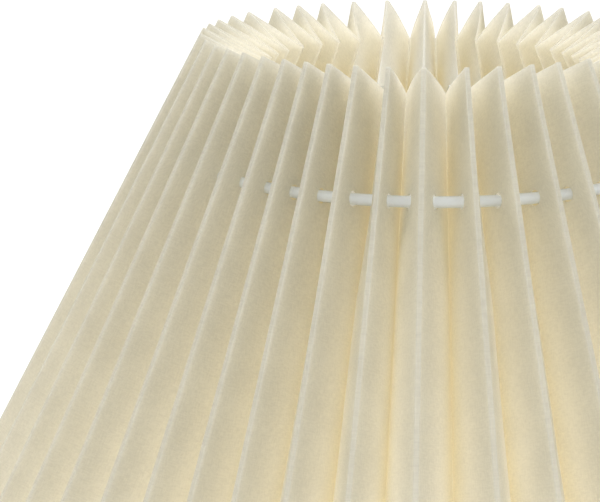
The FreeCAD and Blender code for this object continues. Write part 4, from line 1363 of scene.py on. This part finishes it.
def make_world(strength):
    """Even white light, and plain white where the camera sees past the floor."""
    world = bpy.data.worlds.new("even_light")
    world.use_nodes = True
    bpy.context.scene.world = world
    nodes = Nodes(world.node_tree)
    light = nodes.own("BACKGROUND")
    nodes.feed(light.inputs[0], WHITE)
    nodes.feed(light.inputs[1], strength)
    plain = nodes.add("ShaderNodeBackground", {0: WHITE, 1: 1.0})
    result = nodes.mixed(nodes.seen(), light.outputs[0], plain.outputs[0])
    nodes.feed(nodes.own("OUTPUT_WORLD").inputs[0], result)


def make_light(name, place, target, power, size):
    """A large soft square light that faces a point."""
    data = bpy.data.lights.new(name, "AREA")
    data.energy = power
    data.shape = "SQUARE"
    data.size = size
    light = bpy.data.objects.new(name, data)
    bpy.context.scene.collection.objects.link(light)
    light.location = place
    light.rotation_euler = (Vector(target) - Vector(place)).to_track_quat("-Z", "Y").to_euler()


def make_camera(stage):
    """The camera at the photograph's place."""
    data = bpy.data.cameras.new("camera")
    data.lens = stage.lens
    data.sensor_width = 36
    data.clip_start = 0.01
    camera = bpy.data.objects.new("camera", data)
    bpy.context.scene.collection.objects.link(camera)
    turn = Matrix.Rotation(stage.turn, 4, "Z")
    pitch = Matrix.Rotation(math.pi / 2 - stage.pitch, 4, "X")
    roll = Matrix.Rotation(stage.roll, 4, "Z")
    place = Matrix.Translation((0, -stage.camera_distance, TIP_HEIGHT + stage.camera_rise))
    camera.matrix_world = place @ turn @ pitch @ roll
    bpy.context.scene.camera = camera


# The lights' names and places, the points that they face and their sides.
LIGHTS = {
    "key": ("key_light", (-1.6, -0.8, 1.5), (0, 0, 0.35), 1.4),
    "fill": ("fill_light", (1.6, -0.8, 1.3), (0, 0, 0.35), 1.4),
    "top": ("top_light", (0.2, 1.1, 1.6), (0, 0, 0.4), 1.2),
}


class LAMP_OT_stage(bpy.types.Operator):
    """Sets the floor, the soft lights and the camera"""

    bl_idname = "lamp.stage"
    bl_label = "Stage"

    def execute(self, context):
        stage = context.scene.lamp_stage
        floor = make_floor(stage.floor_size)
        floor.data.materials.append(finish_of("pale_floor", make_floor_finish))
        make_world(stage.sky)
        for power, (name, place, target, side) in LIGHTS.items():
            make_light(name, place, target, getattr(stage, power), side)
        make_camera(stage)
        context.scene.view_settings.view_transform = "Standard"
        return {"FINISHED"}


class LAMP_PT_panel(bpy.types.Panel):
    """The lamp's pieces and their sizes"""

    bl_label = "Pleated lamp"
    bl_idname = "LAMP_PT_panel"
    bl_space_type = "VIEW_3D"
    bl_region_type = "UI"
    bl_category = "Lamp"

    def draw(self, context):
        for operator in OPERATORS:
            self.layout.operator(operator.bl_idname)
        for group in GROUPS:
            box = self.layout.box()
            holder = getattr(context.scene, group)
            for name in holder.__annotations__:
                box.prop(holder, name)


GROUPS = {
    "lamp_shade": LampShadeSizes,
    "lamp_ring": LampRingSizes,
    "lamp_stand": LampStandSizes,
    "lamp_holder": LampHolderSizes,
    "lamp_colours": LampColours,
    "lamp_stage": LampStageSizes,
}
OPERATORS = (
    LAMP_OT_finishes,
    LAMP_OT_shade,
    LAMP_OT_ring,
    LAMP_OT_hoop,
    LAMP_OT_foot,
    LAMP_OT_column,
    LAMP_OT_holder,
    LAMP_OT_carrier,
    LAMP_OT_bulb,
    LAMP_OT_stage,
)
CLASSES = (*GROUPS.values(), *OPERATORS, LAMP_PT_panel)


def register():
    for item in CLASSES:
        bpy.utils.register_class(item)
    for name, group in GROUPS.items():
        setattr(bpy.types.Scene, name, bpy.props.PointerProperty(type=group))


def unregister():
    for name in GROUPS:
        delattr(bpy.types.Scene, name)
    for item in reversed(CLASSES):
        bpy.utils.unregister_class(item)


def main():
    """Builds the whole lamp and its stage."""
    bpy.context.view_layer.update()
    register()
    for operator in OPERATORS:
        family, name = operator.bl_idname.split(".")
        getattr(getattr(bpy.ops, family), name)()


if __name__ == "__main__":
    main()
